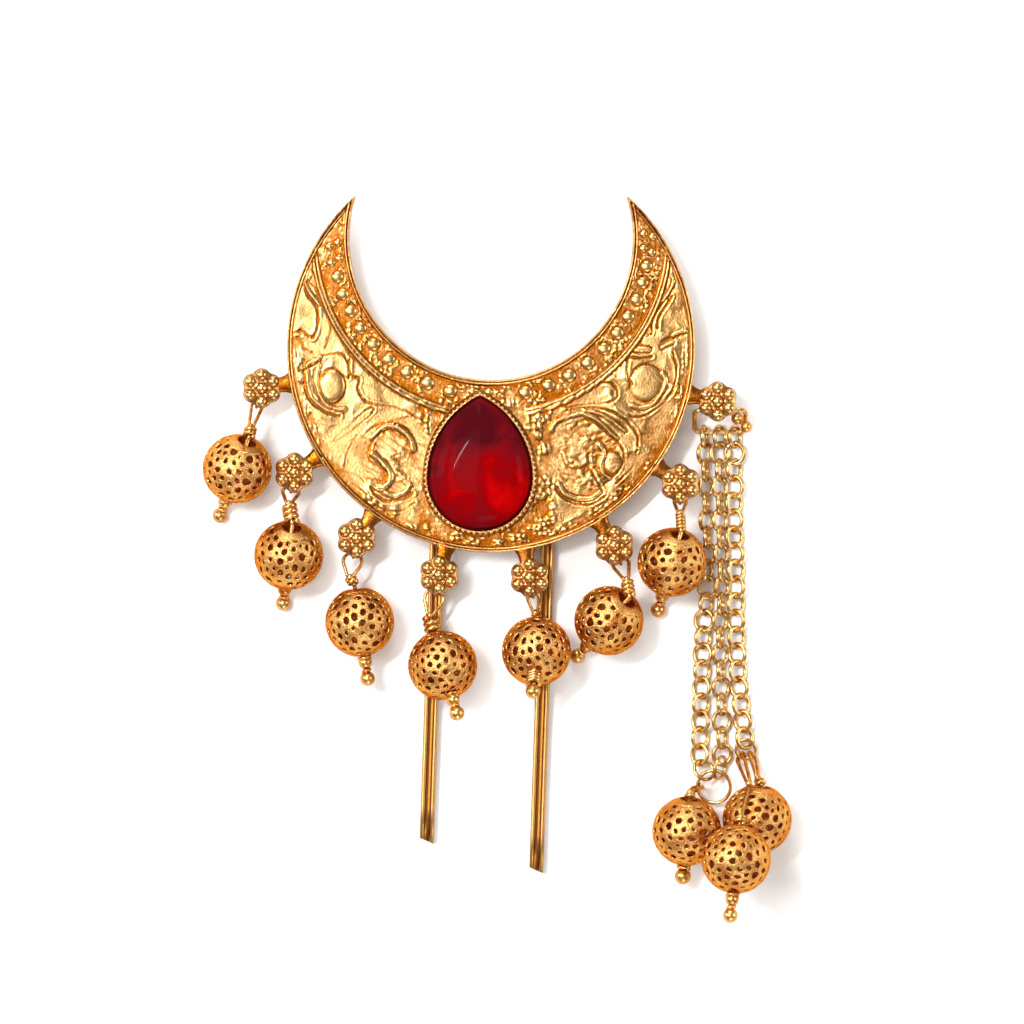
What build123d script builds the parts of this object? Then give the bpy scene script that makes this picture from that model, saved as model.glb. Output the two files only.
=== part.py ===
"""Crescent hair bun brooch with a pear stone, a two-pronged hair fork, seven
pierced ball drops and three chains that end in three more pierced balls.

Millimetres. The brooch lies on its back: +Z points out of its face, +Y to the
crescent's tips, and Z = 0 is the surface it lies on. X = Y = 0 is the centre of
the crescent's outer circle.
"""
from build123d import *
from math import asin, atan2, cos, radians, sin, sqrt
import os

# Fit
gap = 0.1                      # between two pieces that touch on the real brooch

# Crescent plate
outer_radius = 28.8
inner_radius = 20.0
inner_offset = 15.5            # from the outer circle's centre to the inner one's
tip_blunt = 0.15               # this much is missing from the tips' sharp points
plate_thickness = 1.5
lip_width = 0.55
relief_height = 0.5
band_width = 4.8               # granulated band, up to the double ridge that bounds it
ridge_spread = 0.35            # from its middle to each of its two lines
ridge_width = 0.35

# Hair fork and the two sleeves that hold it
sleeve_wall = 0.6
sleeve_length = 4.0
sleeve_width = 3.8
sleeve_y = -20.5
sleeve_headroom = 2.0          # from the sleeves' slot to the plate's back
prong_width = 2.0
prong_height = 1.2
channel_width = 0.75
channel_depth = 0.6
fork_spacing = 15.6
fork_lean = -2.0               # degrees, the prongs lean to the left as they go down
fork_middle = (0.6, -15.2)     # centre of the fork's round bend
left_prong = 54.6              # straight length below the bend
right_prong = 58.2
tip_slant = -21.0              # degrees, the prongs' cut ends

# Granules of the band: side, degrees from straight down to the first one, count
GRANULE_ROWS = ((-1, 14.8, 11), (1, 12.6, 12))
granule_radius = 0.9
granule_shrink = 0.02          # each next one towards a tip is this much smaller
granule_inset = 2.3            # from the inner edge to the granules' middles
granule_pitch = 8.9
granule_closing = 0.16         # the pitch closes up towards the tips
droplet_radius = 0.5
# Small grains by the stone: place across, and below the inner circle
DROPLETS = ((-2.6, 1.6), (-0.3, 1.7), (1.6, 3.5), (6.7, 5.2))

# Stone and its bezel
stone_centre = (-1.55, -18.35)
stone_width = 15.0
stone_side_bow = 5.5           # how far each side arc's centre lies beyond the axis
stone_edge = 0.9
stone_dome = 3.0
bezel_wall = 0.65
bezel_height = 1.5
bezel_lip = 0.3                # the bezel's rubbed edge reaches this far over the stone

# Flower tabs round the rim
tab_count = 8
tab_reach = 4.0                # from the rim to a flower's middle
tab_pitch = 22.4
tab_middle = -91.65            # direction of the row's middle, degrees
tab_thickness = 0.6
tab_raise = 0.4                # tab's top above the plate's field
petal_count = 6
petal_ring = 1.9
petal_radius = 0.95
petal_grain = 0.82
stem_width = 2.1
stem_flare = 3.0
stem_reach = 1.0               # the flare ends this far outside the rim

# Eyelets behind the flowers
eyelet_reach = 2.1             # from the flower's centre towards its drop
chain_eyelet_reach = 1.2       # the same for the flower that carries the chains
eyelet_half = 0.68
eyelet_wire = 0.22
eyelet_drop = 2.0              # from the tab's back down to the eyelet's lowest wire

# Pins of the balls
pin_wire = 0.3
loop_wire = 0.25
neck_spread = 0.3              # half the distance of a loop's two wires at its neck
coil_radius = 0.8
coil_pitch = 0.55
coil_wire_depth = 0.2
coil_stand = 0.4               # from a drop's mouth to its coil
collar_radius = 0.85
collar_step = 0.95             # from the ball's surface to the collar's middle
end_bead_radius = 0.8
tail_reach = 3.4               # from the ball's surface to the end bead's middle

# Pierced balls
ball_radius = 4.9
ball_wall = 0.5
ball_mouth = 1.4
ball_foot = 0.5
mouth_lip = 0.17
pierced_radius = 0.5
PIERCED_ROWS = ((-35.0, 3, 0.0), (0.0, 6, 30.0), (35.0, 3, 60.0))  # latitude, count, turn

# Drops: ball's mouth and pin's neck from the flower's middle, direction and rise
# of the mouth, how far the coil dips to the neck, end radius of the loop, and
# whether the ball lies on the fork
fork_seat = 0.05
DROP_COLUMNS = ("mouth_x", "mouth_y", "azimuth", "rise", "neck_x", "neck_y", "dip", "loop_end", "on_fork")
DROPS = (
    (-1.91, -7.33, 69, 29, -1.49, -5.43, 15, 0.75, 0),
    (-0.28, -7.53, 83, 32, -0.79, -4.35, 15, 1.15, 0),
    (-0.25, -6.96, 98, 0, -0.97, -5.51, 0, 1.3, 0),
    (-0.75, -8.66, 107, -30, -1.31, -5.72, 0, 1.3, 1),
    (1.26, -6.96, 85, -46, 0.86, -4.96, 0, 0.8, 1),
    (1.91, -7.5, 49, 34, 1.74, -4.77, 15, 1.15, 0),
    (0.02, -7.0, 74, 30, 0.0, -4.08, 18, 0.85, 0),
)

# Chains of oval links, tilted in turn to one side and the other
link_wire = 0.23
link_half_length = 1.48
link_half_width = 1.35
link_tilt = 35.0
link_pitch = 2.3625
link_height = 1.05
chain_bar_drop = 3.08          # from the last flower's eyelet down to the bar that the links hang on
bar_seat = 0.66                # from the bar to a first link's centre
CHAIN_LINKS = {"left": 20, "middle": 20, "right": 19}
# Each chain's place across from the last flower, at shares of its length
ROUTE_SHARES = (0.0, 0.15, 0.3, 0.45, 0.6, 0.8, 1.0)
CHAIN_ROUTES = {
    "left": (-1.78, -1.63, -1.48, -1.23, -1.93, -2.23, -2.48),
    "middle": (0.37, 0.37, 0.42, 0.67, 0.37, 0.57, 0.72),
    "right": (2.52, 2.37, 2.37, 2.67, 2.62, 2.97, 3.87),
}
MIDDLE_LIFTS = (0.0, 0.6, 0.6, 0.6, 0.3, 0.0, 0.0)   # the middle chain lies on its neighbours

# Oblong ring of the chains and the short pin that hooks on it
ring_wire = 0.32
ring_half_length = 3.6
ring_corner = 0.8
ring_shift = 0.37              # ring's middle, to the right of its flower's middle
short_pin_hook = 1.45          # from the flower's middle
short_pin_way = (-42, -2)      # azimuth and rise
short_pin_eye = 1.05

# Rings at the chains' ends: place from the end link or the ring that carries it,
# height, radius, tilt to the side and tilt to the front
end_wire = 0.25
RING_COLUMNS = ("carrier", "x", "y", "z", "radius", "side_tilt", "front_tilt")
END_RINGS = {
    "left": ("chain_left", 0.61, -2.18, 1.56, 1.5, 25.0, -29.8),
    "middle": ("chain_middle", -0.32, -1.87, 1.8, 1.6, 58.7, 23.2),
    "shared": ("end_ring_left", 1.39, -2.33, 1.86, 2.35, -9.1, 10.9),
    "right": ("chain_right", 0.15, -1.6, 1.03, 1.35, -0.3, 8.8),
}

# Balls at the chains' ends, lying together: place in ball radii from the
# cluster's middle, mouth's direction and rise, tail beyond the ball, the ring that
# the loop hooks, the neck's place from that ring and above the lower balls'
# middles, and the direction of the hook from the ring's middle
cluster_shift = 1.1            # cluster's middle, to the right of the shared ring
cluster_drop = 0.49            # from the shared ring's middle to the lower balls' tops in plan
CLUSTER_COLUMNS = ("x", "y", "z", "azimuth", "rise", "tail", "ring", "neck", "turn")
CLUSTER = {
    "left": (-1.01, -0.17, 1.0, 85, 12, 2.0, "shared", (-3.45, -0.74, 1.0), 185),
    "front": (0.38, -0.93, 2.61, 84, -10, 3.4, "right", (0.35, -4.72, 3.1), -125),
    "right": (1.01, 0.17, 1.0, 83, 8, 3.4, "right", (1.65, -4.02, 0.7), -45),
}
cluster_coil = 1.6
cluster_loop_end = 0.75

# Heights worked out from the sizes above
fork_low = sleeve_wall + gap
fork_top = fork_low + prong_height
back = fork_top + gap + sleeve_headroom
field = back + plate_thickness
tab_top = field + tab_raise
tab_back = tab_top - tab_thickness
eyelet_low = tab_back - eyelet_drop
loop_height = eyelet_low + loop_wire + eyelet_wire + gap
ring_height = eyelet_low + ring_wire + eyelet_wire + gap
inner_centre = (0.0, inner_offset)
tab_ring = outer_radius + tab_reach
inner_low = inner_offset - inner_radius
# Height where the two circles meet, less the blunt end
tip_cut = (outer_radius ** 2 - inner_radius ** 2 + inner_offset ** 2) / (2 * inner_offset) - tip_blunt
up = Vector(0, 0, 1)


def heading(azimuth, rise=0.0):
    """Unit vector from its direction in plan and its rise, in degrees."""
    flat = cos(radians(rise))
    return Vector(flat * cos(radians(azimuth)), flat * sin(radians(azimuth)), sin(radians(rise)))


def level(vector):
    """The same vector with no height."""
    return Vector(vector.X, vector.Y, 0)


def rod(start, end, radius):
    """A round wire between two points, added to the open part."""
    way = end - start
    with Locations(Plane(origin=start, z_dir=way).location):
        Cylinder(radius, way.length, align=(Align.CENTER, Align.CENTER, Align.MIN))


def bead(point, radius):
    """A solid bead at a point, added to the open part."""
    with Locations(point):
        Sphere(radius)


def crescent_outline(inset=0.0):
    """The crescent's face, drawn in the open sketch."""
    Circle(outer_radius - inset)
    with Locations(inner_centre):
        Circle(inner_radius + inset, mode=Mode.SUBTRACT)
    with Locations((0, tip_cut - inset)):
        Rectangle(2 * outer_radius, outer_radius, align=(Align.CENTER, Align.MIN), mode=Mode.SUBTRACT)


def pear_outline(grow, scale=1.0):
    """The stone's outline, grown all round, as three arcs in the open line."""
    half = (stone_width / 2 + grow) * scale
    bow = stone_side_bow * scale
    side = half + bow
    apex = sqrt(side * side - bow * bow)
    turn = asin(apex / side) / 2
    across, along = side * cos(turn) - bow, side * sin(turn)
    ring = ((-half, 0), (-across, along), (0, apex), (across, along), (half, 0), (0, -half))
    points = [(stone_centre[0] + x, stone_centre[1] + y) for x, y in ring]
    for k in (0, 2, 4):
        ThreePointArc(points[k], points[k + 1], points[(k + 2) % 6])


# Stone, a domed pear with a flat back and a ledge for the bezel's edge
stone_low = field + gap
DOME_SHARES = ((1.0, 0.0), (0.97, 0.2), (0.88, 0.5), (0.72, 0.75), (0.5, 0.91), (0.22, 0.99))
with BuildPart() as red_stone:
    with BuildSketch(Plane.XY.offset(stone_low)):
        with BuildLine():
            pear_outline(-gap)
        make_face()
    extrude(amount=stone_edge)
    for share, height in DOME_SHARES:
        with BuildSketch(Plane.XY.offset(stone_low + stone_edge + stone_dome * height)):
            with BuildLine():
                pear_outline(-bezel_lip - gap, share)
            make_face()
    loft()
red_stone.part.label = "red_stone"


class Drop:
    """Points of one ball and its pin, worked out from where the ball lies."""

    def __init__(self, row, tab):
        spot = dict(zip(DROP_COLUMNS, row))
        self.axis = heading(spot["azimuth"], spot["rise"])
        tail_dip = (ball_radius + tail_reach) * sin(radians(spot["rise"]))
        lift = spot["on_fork"] * (fork_top + fork_seat)
        height = max(ball_radius + lift, end_bead_radius + tail_dip)
        mouth = tab + Vector(spot["mouth_x"], spot["mouth_y"], 0)
        self.centre = mouth - level(self.axis) * ball_radius + up * height
        self.mouth = self.centre + self.axis * ball_radius
        self.coil_start = self.mouth + self.axis * coil_stand
        reach = Vector(spot["neck_x"] - spot["mouth_x"], spot["neck_y"] - spot["mouth_y"], 0)
        self.neck = self.mouth + reach - up * (reach.length * sin(radians(spot["dip"])))
        self.toward = (level(self.neck) - tab).normalized()
        self.hook = tab + self.toward * eyelet_reach + up * loop_height
        self.side = self.toward.cross(up)
        self.loop_end = spot["loop_end"]


tab_angles = [tab_middle + tab_pitch * (k - (tab_count - 1) / 2) for k in range(tab_count)]
tab_places = [heading(angle) * tab_ring for angle in tab_angles]
drops = [Drop(row, tab) for row, tab in zip(DROPS, tab_places)]
ring_hook = tab_places[-1] - Vector(0, chain_eyelet_reach, -ring_height)
hangers = [(drop.hook, drop.toward) for drop in drops] + [(ring_hook, Vector(0, -1, 0))]

# Scrolls of the right half in shares of the outer radius: centre, radius and
# direction at start and end; and their width
SCROLL_COLUMNS = ("x", "y", "radius", "end_radius", "start", "end", "width")
SCROLLS = (
    (0.493, -0.5, 0.24, 0.24, 131, -2, 0.4),
    (0.493, -0.5, 0.215, 0.18, 135, -57, 0.5),
    (0.493, -0.5, 0.153, 0.108, 133, 42, 0.45),
    (0.438, -0.594, 0.146, 0.146, -50, -135, 0.4),
    (0.438, -0.594, 0.115, 0.115, -55, -130, 0.35),
    (0.764, -0.153, 0.142, 0.156, -150, 130, 0.45),
    (0.983, 0.087, 0.219, 0.208, 118, 215, 0.5),
    (0.983, 0.087, 0.177, 0.177, 125, 205, 0.3),
)
# Raised bosses of the right half in the same shares: centre, half length, half width; and turn
BOSS_COLUMNS = ("x", "y", "length", "width", "turn")
BOSSES = (
    (0.764, -0.153, 0.115, 0.09, 90),
    (0.5, -0.233, 0.132, 0.031, 20),
    (0.594, -0.566, 0.083, 0.045, 90),
    (0.889, 0.052, 0.069, 0.019, 23),
)

with BuildPart() as crescent:
    with BuildSketch(Plane.XY.offset(back)):
        crescent_outline()
    extrude(amount=plate_thickness)

    # Outer and inner lips
    with BuildSketch(Plane.XY.offset(field)):
        crescent_outline()
        with BuildSketch(mode=Mode.SUBTRACT):
            crescent_outline(lip_width)
    extrude(amount=relief_height)

    # Double ridge of the band
    for radius in (inner_radius + band_width - ridge_spread, inner_radius + band_width + ridge_spread):
        with BuildSketch(Plane.XY.offset(field)):
            with Locations(inner_centre):
                Circle(radius + ridge_width / 2)
                Circle(radius - ridge_width / 2, mode=Mode.SUBTRACT)
            with BuildSketch(mode=Mode.INTERSECT):
                crescent_outline()
        extrude(amount=relief_height)

    # Scrolls and bosses, the same on both halves
    for row in SCROLLS:
        scroll = dict(zip(SCROLL_COLUMNS, row))
        sweep_angle = scroll["end"] - scroll["start"]
        steps = [k / 8 for k in range(9)]
        for hand in (1, -1):
            points = []
            for t in steps:
                radius = scroll["radius"] + t * (scroll["end_radius"] - scroll["radius"])
                ray = heading(scroll["start"] + t * sweep_angle) * radius
                points.append((hand * (scroll["x"] + ray.X) * outer_radius,
                               (scroll["y"] + ray.Y) * outer_radius))
            with BuildSketch(Plane.XY.offset(field)):
                with BuildLine() as stroke:
                    Spline(*points)
                trace(stroke.edges(), scroll["width"])
            extrude(amount=relief_height)
    for row in BOSSES:
        boss = dict(zip(BOSS_COLUMNS, row))
        for hand in (1, -1):
            with BuildSketch(Plane.XY.offset(field)):
                with Locations((hand * boss["x"] * outer_radius, boss["y"] * outer_radius)):
                    Ellipse(boss["length"] * outer_radius, boss["width"] * outer_radius,
                            rotation=hand * boss["turn"])
            extrude(amount=relief_height)

    # Granules of the band, smaller and closer towards the tips
    for hand, first, count in GRANULE_ROWS:
        for k in range(count):
            turn = first + granule_pitch * k - granule_closing * k * k
            spot = heading(hand * turn - 90) * (inner_radius + granule_inset)
            bead((spot.X, spot.Y + inner_offset, field), granule_radius - granule_shrink * k)
    for x, below in DROPLETS:
        bead((x, inner_low - below, field), droplet_radius)

    # Flower tabs on their stems
    for place, angle in zip(tab_places, tab_angles):
        with BuildSketch(Plane(origin=(0, 0, tab_back), x_dir=heading(angle))):
            root = outer_radius - lip_width
            with BuildLine():
                Polyline((root, stem_flare / 2), (outer_radius + stem_reach, stem_width / 2),
                         (tab_ring, stem_width / 2), (tab_ring, -stem_width / 2),
                         (outer_radius + stem_reach, -stem_width / 2), (root, -stem_flare / 2), close=True)
            make_face()
        extrude(amount=tab_thickness)
        with BuildSketch(Plane(origin=(place.X, place.Y, tab_back))):
            Circle(petal_ring)
            with PolarLocations(petal_ring, petal_count, start_angle=90):
                Circle(petal_radius)
        extrude(amount=tab_thickness)
        # Half grains, so nothing reaches below the tab
        with Locations(Plane(origin=(place.X, place.Y, tab_top - gap)).location):
            Sphere(petal_grain, arc_size1=0)
            with PolarLocations(petal_ring, petal_count, start_angle=90):
                Sphere(petal_grain, arc_size1=0)

    # Bezel round the stone, its edge rubbed over the stone's ledge
    ledge = field + stone_edge + 2 * gap
    for low, grow, height, mode in (
        (field, bezel_wall, bezel_height, Mode.ADD),
        (field, 0, stone_edge + 2 * gap, Mode.SUBTRACT),
        (ledge, -bezel_lip, bezel_height, Mode.SUBTRACT),
    ):
        with BuildSketch(Plane.XY.offset(low)):
            with BuildLine():
                pear_outline(grow)
            make_face()
        extrude(amount=height, mode=mode)

    # Eyelets behind the flowers
    leg_top = tab_back + tab_thickness / 2
    bend = eyelet_low + eyelet_half
    for hook, toward in hangers:
        with BuildLine(Plane(origin=level(hook), x_dir=toward, z_dir=toward.cross(up))):
            leg = Line((-eyelet_half, leg_top), (-eyelet_half, bend))
            ThreePointArc((-eyelet_half, bend), (0, eyelet_low), (eyelet_half, bend))
            Line((eyelet_half, bend), (eyelet_half, leg_top))
        with BuildSketch(Plane(origin=leg @ 0, z_dir=leg % 0)):
            Circle(eyelet_wire)
        sweep()

    # Sleeves that hold the fork
    for hand in (1, -1):
        x = fork_middle[0] + hand * fork_spacing / 2 - (sleeve_y - fork_middle[1]) * sin(radians(fork_lean))
        with BuildSketch(Plane(origin=(x, sleeve_y, 0), x_dir=heading(fork_lean))):
            Rectangle(sleeve_width, sleeve_length)
        extrude(amount=back + plate_thickness / 2)
        with BuildSketch(Plane(origin=(x, sleeve_y, fork_low - gap), x_dir=heading(fork_lean))):
            Rectangle(prong_width + 2 * gap, sleeve_length + 1)
        extrude(amount=prong_height + 2 * gap, mode=Mode.SUBTRACT)
crescent.part.label = "crescent"


# Hair fork, a bent channel open to the front
with BuildPart() as hair_fork:
    fork_plane = Plane(origin=(*fork_middle, fork_low), x_dir=heading(fork_lean))
    half = fork_spacing / 2
    with BuildLine(fork_plane):
        run = Line((-half, -left_prong), (-half, 0))
        ThreePointArc((-half, 0), (0, half), (half, 0))
        Line((half, 0), (half, -right_prong))
    with BuildSketch(Plane(origin=run @ 0, x_dir=heading(fork_lean), z_dir=-(run % 0))):
        with Locations((0, prong_height / 2)):
            Rectangle(prong_width, prong_height)
        with Locations((0, prong_height)):
            Rectangle(channel_width, 2 * channel_depth, mode=Mode.SUBTRACT)
    sweep()
    # Slanted tips
    for x, length in ((-half, left_prong), (half, right_prong)):
        with Locations(fork_plane * Location((x, -length, 0), (0, 0, tip_slant))):
            Box(3 * prong_width, prong_width, 3 * prong_height,
                align=(Align.CENTER, Align.MAX, Align.CENTER), mode=Mode.SUBTRACT)
hair_fork.part.label = "hair_fork"


# One pierced ball in its own frame, its mouth towards +Z
with BuildPart() as ball:
    Sphere(ball_radius)
    Sphere(ball_radius - ball_wall, mode=Mode.SUBTRACT)
    low_end = (Align.CENTER, Align.CENTER, Align.MIN)
    high_end = (Align.CENTER, Align.CENTER, Align.MAX)
    Cylinder(ball_mouth, ball_radius + 1, align=low_end, mode=Mode.SUBTRACT)
    Cylinder(ball_foot, ball_radius + 1, align=high_end, mode=Mode.SUBTRACT)
    for latitude, count, turn in PIERCED_ROWS:
        for k in range(count):
            with Locations(Plane(origin=(0, 0, 0), z_dir=heading(turn + 360 * k / count, latitude)).location):
                Cylinder(pierced_radius, ball_radius + 1, align=low_end, mode=Mode.SUBTRACT)
    with Locations((0, 0, sqrt(ball_radius ** 2 - ball_mouth ** 2))):
        Torus(ball_mouth + mouth_lip / 2, mouth_lip)


def coil(start, end):
    """Wire wound round the neck from start to end, added to the open part."""
    way = end - start
    turns = max(2, round(way.length / coil_pitch))
    step = way.length / turns
    groove = coil_radius - coil_wire_depth
    plane = Plane(origin=start, z_dir=way)
    with BuildSketch(Plane(origin=start, x_dir=plane.x_dir, z_dir=-plane.y_dir)) as profile:
        with BuildLine():
            Polyline((0, way.length), (0, 0), (groove, 0))
            for k in range(turns):
                ThreePointArc((groove, k * step), (coil_radius, (k + 0.5) * step), (groove, (k + 1) * step))
            Line((groove, way.length), (0, way.length))
        make_face()
    revolve(profile.sketch, axis=Axis(start, way))


def loop(neck, hook, side, end):
    """Teardrop of wire from the neck to the hook, its end rounded to a radius, added to the open part."""
    way = (hook - neck).normalized()
    across = (side - way * side.dot(way)).normalized()
    depth = (hook - neck).length - end
    reach = sqrt(neck_spread ** 2 + depth ** 2)
    turn = atan2(depth, -neck_spread) - asin(end / reach)
    run = sqrt(reach ** 2 - end ** 2)
    touch = (neck_spread + run * cos(turn), run * sin(turn))
    with BuildLine(Plane(origin=neck, x_dir=across, z_dir=across.cross(way))) as route:
        first = Line((neck_spread, 0), touch)
        ThreePointArc(touch, (0, depth + end), (-touch[0], touch[1]))
        Line((-touch[0], touch[1]), (-neck_spread, 0))
    with BuildSketch(Plane(origin=first @ 0, z_dir=first % 0)) as wire:
        Circle(loop_wire)
    sweep(wire.sketch, path=route.line)


def make_pin(name, centre, axis, coil_start, coil_length, neck, hook, side, end, tail):
    """A ball's pin: end bead, collar, stem, coil and teardrop loop in one piece."""
    foot = centre - axis * ball_radius
    coil_end = coil_start + (neck - coil_start).normalized() * coil_length
    neck_radius = neck_spread + loop_wire + gap / 2
    with BuildPart() as pin:
        rod(foot - axis * tail, coil_start, pin_wire)
        bead(foot - axis * tail, end_bead_radius)
        if tail > collar_step + collar_radius:
            bead(foot - axis * collar_step, collar_radius)
        bead(coil_start, pin_wire + gap)
        coil(coil_start, coil_end)
        if (neck - coil_end).length > gap:
            rod(coil_end, neck, pin_wire)
        bead(neck, neck_radius)
        loop(neck, hook, side, end)
    pin.part.label = name
    return pin.part


def place_ball(name, centre, axis):
    """The pierced ball at its place."""
    with BuildPart() as placed:
        with Locations(Plane(origin=centre, z_dir=axis).location):
            add(ball.part)
    placed.part.label = name
    return placed.part


pieces = [crescent.part, red_stone.part, hair_fork.part]
for k, drop in enumerate(drops, 1):
    pieces.append(place_ball(f"ball_{k}", drop.centre, drop.axis))
    pieces.append(make_pin(f"ball_pin_{k}", drop.centre, drop.axis, drop.coil_start,
                           (drop.neck - drop.coil_start).length, drop.neck, drop.hook, drop.side,
                           drop.loop_end, tail_reach))


# One link in its own frame, its length along X
with BuildPart() as link:
    straight = link_half_length - link_half_width
    with BuildLine():
        upper = Line((-straight, link_half_width), (straight, link_half_width))
        ThreePointArc((straight, link_half_width), (link_half_length, 0), (straight, -link_half_width))
        Line((straight, -link_half_width), (-straight, -link_half_width))
        ThreePointArc((-straight, -link_half_width), (-link_half_length, 0), (-straight, link_half_width))
    with BuildSketch(Plane(origin=upper @ 0, z_dir=upper % 0)):
        Circle(link_wire)
    sweep()


def between(shares, values, at):
    """Value at a share, on straight lines between a table's rows."""
    for k in range(len(shares) - 1):
        if at <= shares[k + 1]:
            part_way = (at - shares[k]) / (shares[k + 1] - shares[k])
            return values[k] + part_way * (values[k + 1] - values[k])
    return values[-1]


last_tab = tab_places[-1]
bar = Vector(last_tab.X, ring_hook.Y - chain_bar_drop, link_height)
carriers = {}                  # what the end rings hang on
for name, count in CHAIN_LINKS.items():
    lifts = MIDDLE_LIFTS if name == "middle" else (0.0,) * len(ROUTE_SHARES)
    points = []
    for k in range(count):
        share = k / (count - 1)
        across = between(ROUTE_SHARES, CHAIN_ROUTES[name], share)
        lift = between(ROUTE_SHARES, lifts, share)
        points.append(bar + Vector(across, -bar_seat - link_pitch * k, lift))
    carriers["chain_" + name] = points[-1]
    with BuildPart() as chain:
        for k, point in enumerate(points):
            way = points[min(k + 1, count - 1)] - points[max(k - 1, 0)]
            tilt = link_tilt if k % 2 == 0 else -link_tilt
            normal = up.cross(way.normalized()) * sin(radians(tilt)) + up * cos(radians(tilt))
            with Locations(Plane(origin=point, x_dir=way, z_dir=normal).location):
                add(link.part)
    chain.part.label = "chain_" + name
    pieces.append(chain.part)


# Oblong ring behind the last flower, from its eyelet down to the chains' first links
slope = bar - ring_hook
ring_middle = ring_hook + slope * 0.5 + Vector(ring_shift, 0, 0)
with BuildPart() as chain_ring:
    with BuildSketch(Plane(origin=ring_middle, x_dir=(1, 0, 0), z_dir=slope.cross(Vector(1, 0, 0))),
                     mode=Mode.PRIVATE) as oblong:
        RectangleRounded(2 * ring_half_length, slope.length, ring_corner)
    path = oblong.sketch.face().outer_wire()
    with BuildSketch(Plane(origin=path @ 0, z_dir=path % 0)):
        Circle(ring_wire)
    sweep(path=path)
chain_ring.part.label = "chain_ring"
pieces.append(chain_ring.part)


# Short pin with a collar and an end bead, hooked on the oblong ring
with BuildPart() as short_pin:
    way = heading(*short_pin_way)
    eye = ring_hook + Vector(short_pin_hook, 0, -gap)
    bead_step = end_bead_radius + collar_radius + gap
    collar = eye + way * (short_pin_eye + collar_radius - gap)
    end_bead = collar + way * bead_step
    with Locations(Plane(origin=eye, z_dir=way.cross(up)).location):
        Torus(short_pin_eye, loop_wire)
    rod(collar, end_bead, pin_wire)
    bead(collar, collar_radius)
    bead(end_bead, end_bead_radius)
short_pin.part.label = "short_pin"
pieces.append(short_pin.part)


def tilted(side_tilt, front_tilt):
    """A ring's normal, from level tilted to its side and then to its front."""
    side, front = radians(side_tilt), radians(front_tilt)
    return Vector(sin(side), -cos(side) * sin(front), cos(side) * cos(front))


# Rings at the chains' ends
rings = {}
for name, row in END_RINGS.items():
    ring = dict(zip(RING_COLUMNS, row))
    ring["centre"] = level(carriers[ring["carrier"]]) + Vector(ring["x"], ring["y"], ring["z"])
    ring["normal"] = tilted(ring["side_tilt"], ring["front_tilt"])
    carriers["end_ring_" + name] = ring["centre"]
    rings[name] = ring
    with BuildPart() as end_ring:
        with Locations(Plane(origin=ring["centre"], z_dir=ring["normal"]).location):
            Torus(ring["radius"], end_wire)
    end_ring.part.label = "end_ring_" + name
    pieces.append(end_ring.part)


# Balls at the chains' ends, each hooked on one of those rings
cluster_middle = level(rings["shared"]["centre"]) + Vector(cluster_shift, -cluster_drop - ball_radius, 0)
for name, row in CLUSTER.items():
    spot = dict(zip(CLUSTER_COLUMNS, row))
    ring = rings[spot["ring"]]
    normal = ring["normal"]
    outward = heading(spot["turn"])
    outward = (outward - normal * outward.dot(normal)).normalized()
    wire_point = ring["centre"] + outward * ring["radius"]
    neck = level(ring["centre"]) + Vector(*spot["neck"]) + up * ball_radius
    pull = (neck - wire_point).normalized()
    hook = wire_point - pull * (end_wire + loop_wire + gap)
    side = normal.cross(outward).cross(pull)
    centre = cluster_middle + Vector(spot["x"], spot["y"], spot["z"]) * ball_radius
    axis = heading(spot["azimuth"], spot["rise"])
    pieces.append(place_ball("chain_ball_" + name, centre, axis))
    mouth = centre + axis * ball_radius
    coil_length = min(cluster_coil, (neck - mouth).length - gap)
    pieces.append(make_pin("chain_pin_" + name, centre, axis, mouth, coil_length, neck, hook, side,
                           cluster_loop_end, spot["tail"]))


os.makedirs("parts", exist_ok=True)
for piece in pieces:
    export_step(piece, "parts/" + piece.label + ".step")
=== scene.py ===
"""Crescent hair bun brooch laid on its back, in cast, pierced and drawn gilt brass
with a domed red glass stone.

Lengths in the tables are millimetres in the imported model's frame; MM turns them
into Blender's metres as a mesh is made.
"""
from math import acos, asin, atan2, cos, exp, hypot, pi, radians, sin, sqrt, tan

import bmesh
import bpy
import numpy as np
from bpy.props import FloatProperty, FloatVectorProperty, IntProperty, PointerProperty
from mathutils import Matrix, Vector


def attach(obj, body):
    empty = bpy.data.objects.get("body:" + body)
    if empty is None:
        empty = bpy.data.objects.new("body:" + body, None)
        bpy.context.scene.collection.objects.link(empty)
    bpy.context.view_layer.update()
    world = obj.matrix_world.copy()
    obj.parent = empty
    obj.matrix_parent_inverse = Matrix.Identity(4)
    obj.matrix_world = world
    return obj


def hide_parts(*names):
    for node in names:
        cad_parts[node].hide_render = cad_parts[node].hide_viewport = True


bl_info = {
    "name": "Crescent Bun Brooch",
    "version": (1, 0, 0),
    "blender": (4, 5, 0),
    "location": "View3D > Sidebar > Brooch",
    "description": "Builds the crescent bun brooch's pieces on the packed frame",
    "category": "Object",
}

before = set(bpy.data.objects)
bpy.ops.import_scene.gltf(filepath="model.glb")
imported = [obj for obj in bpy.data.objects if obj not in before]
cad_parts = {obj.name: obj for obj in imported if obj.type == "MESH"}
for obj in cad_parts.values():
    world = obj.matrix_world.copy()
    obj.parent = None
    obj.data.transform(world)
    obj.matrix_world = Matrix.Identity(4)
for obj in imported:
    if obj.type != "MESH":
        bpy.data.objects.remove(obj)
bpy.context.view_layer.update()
MM = 0.001

# The picture's width, its pixels in a millimetre, and the pixel where the crescent's circle has its centre
PICTURE, PIXELS_A_MM, CENTRE_PIXEL = 1024, 7.1, (491, 348)

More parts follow.
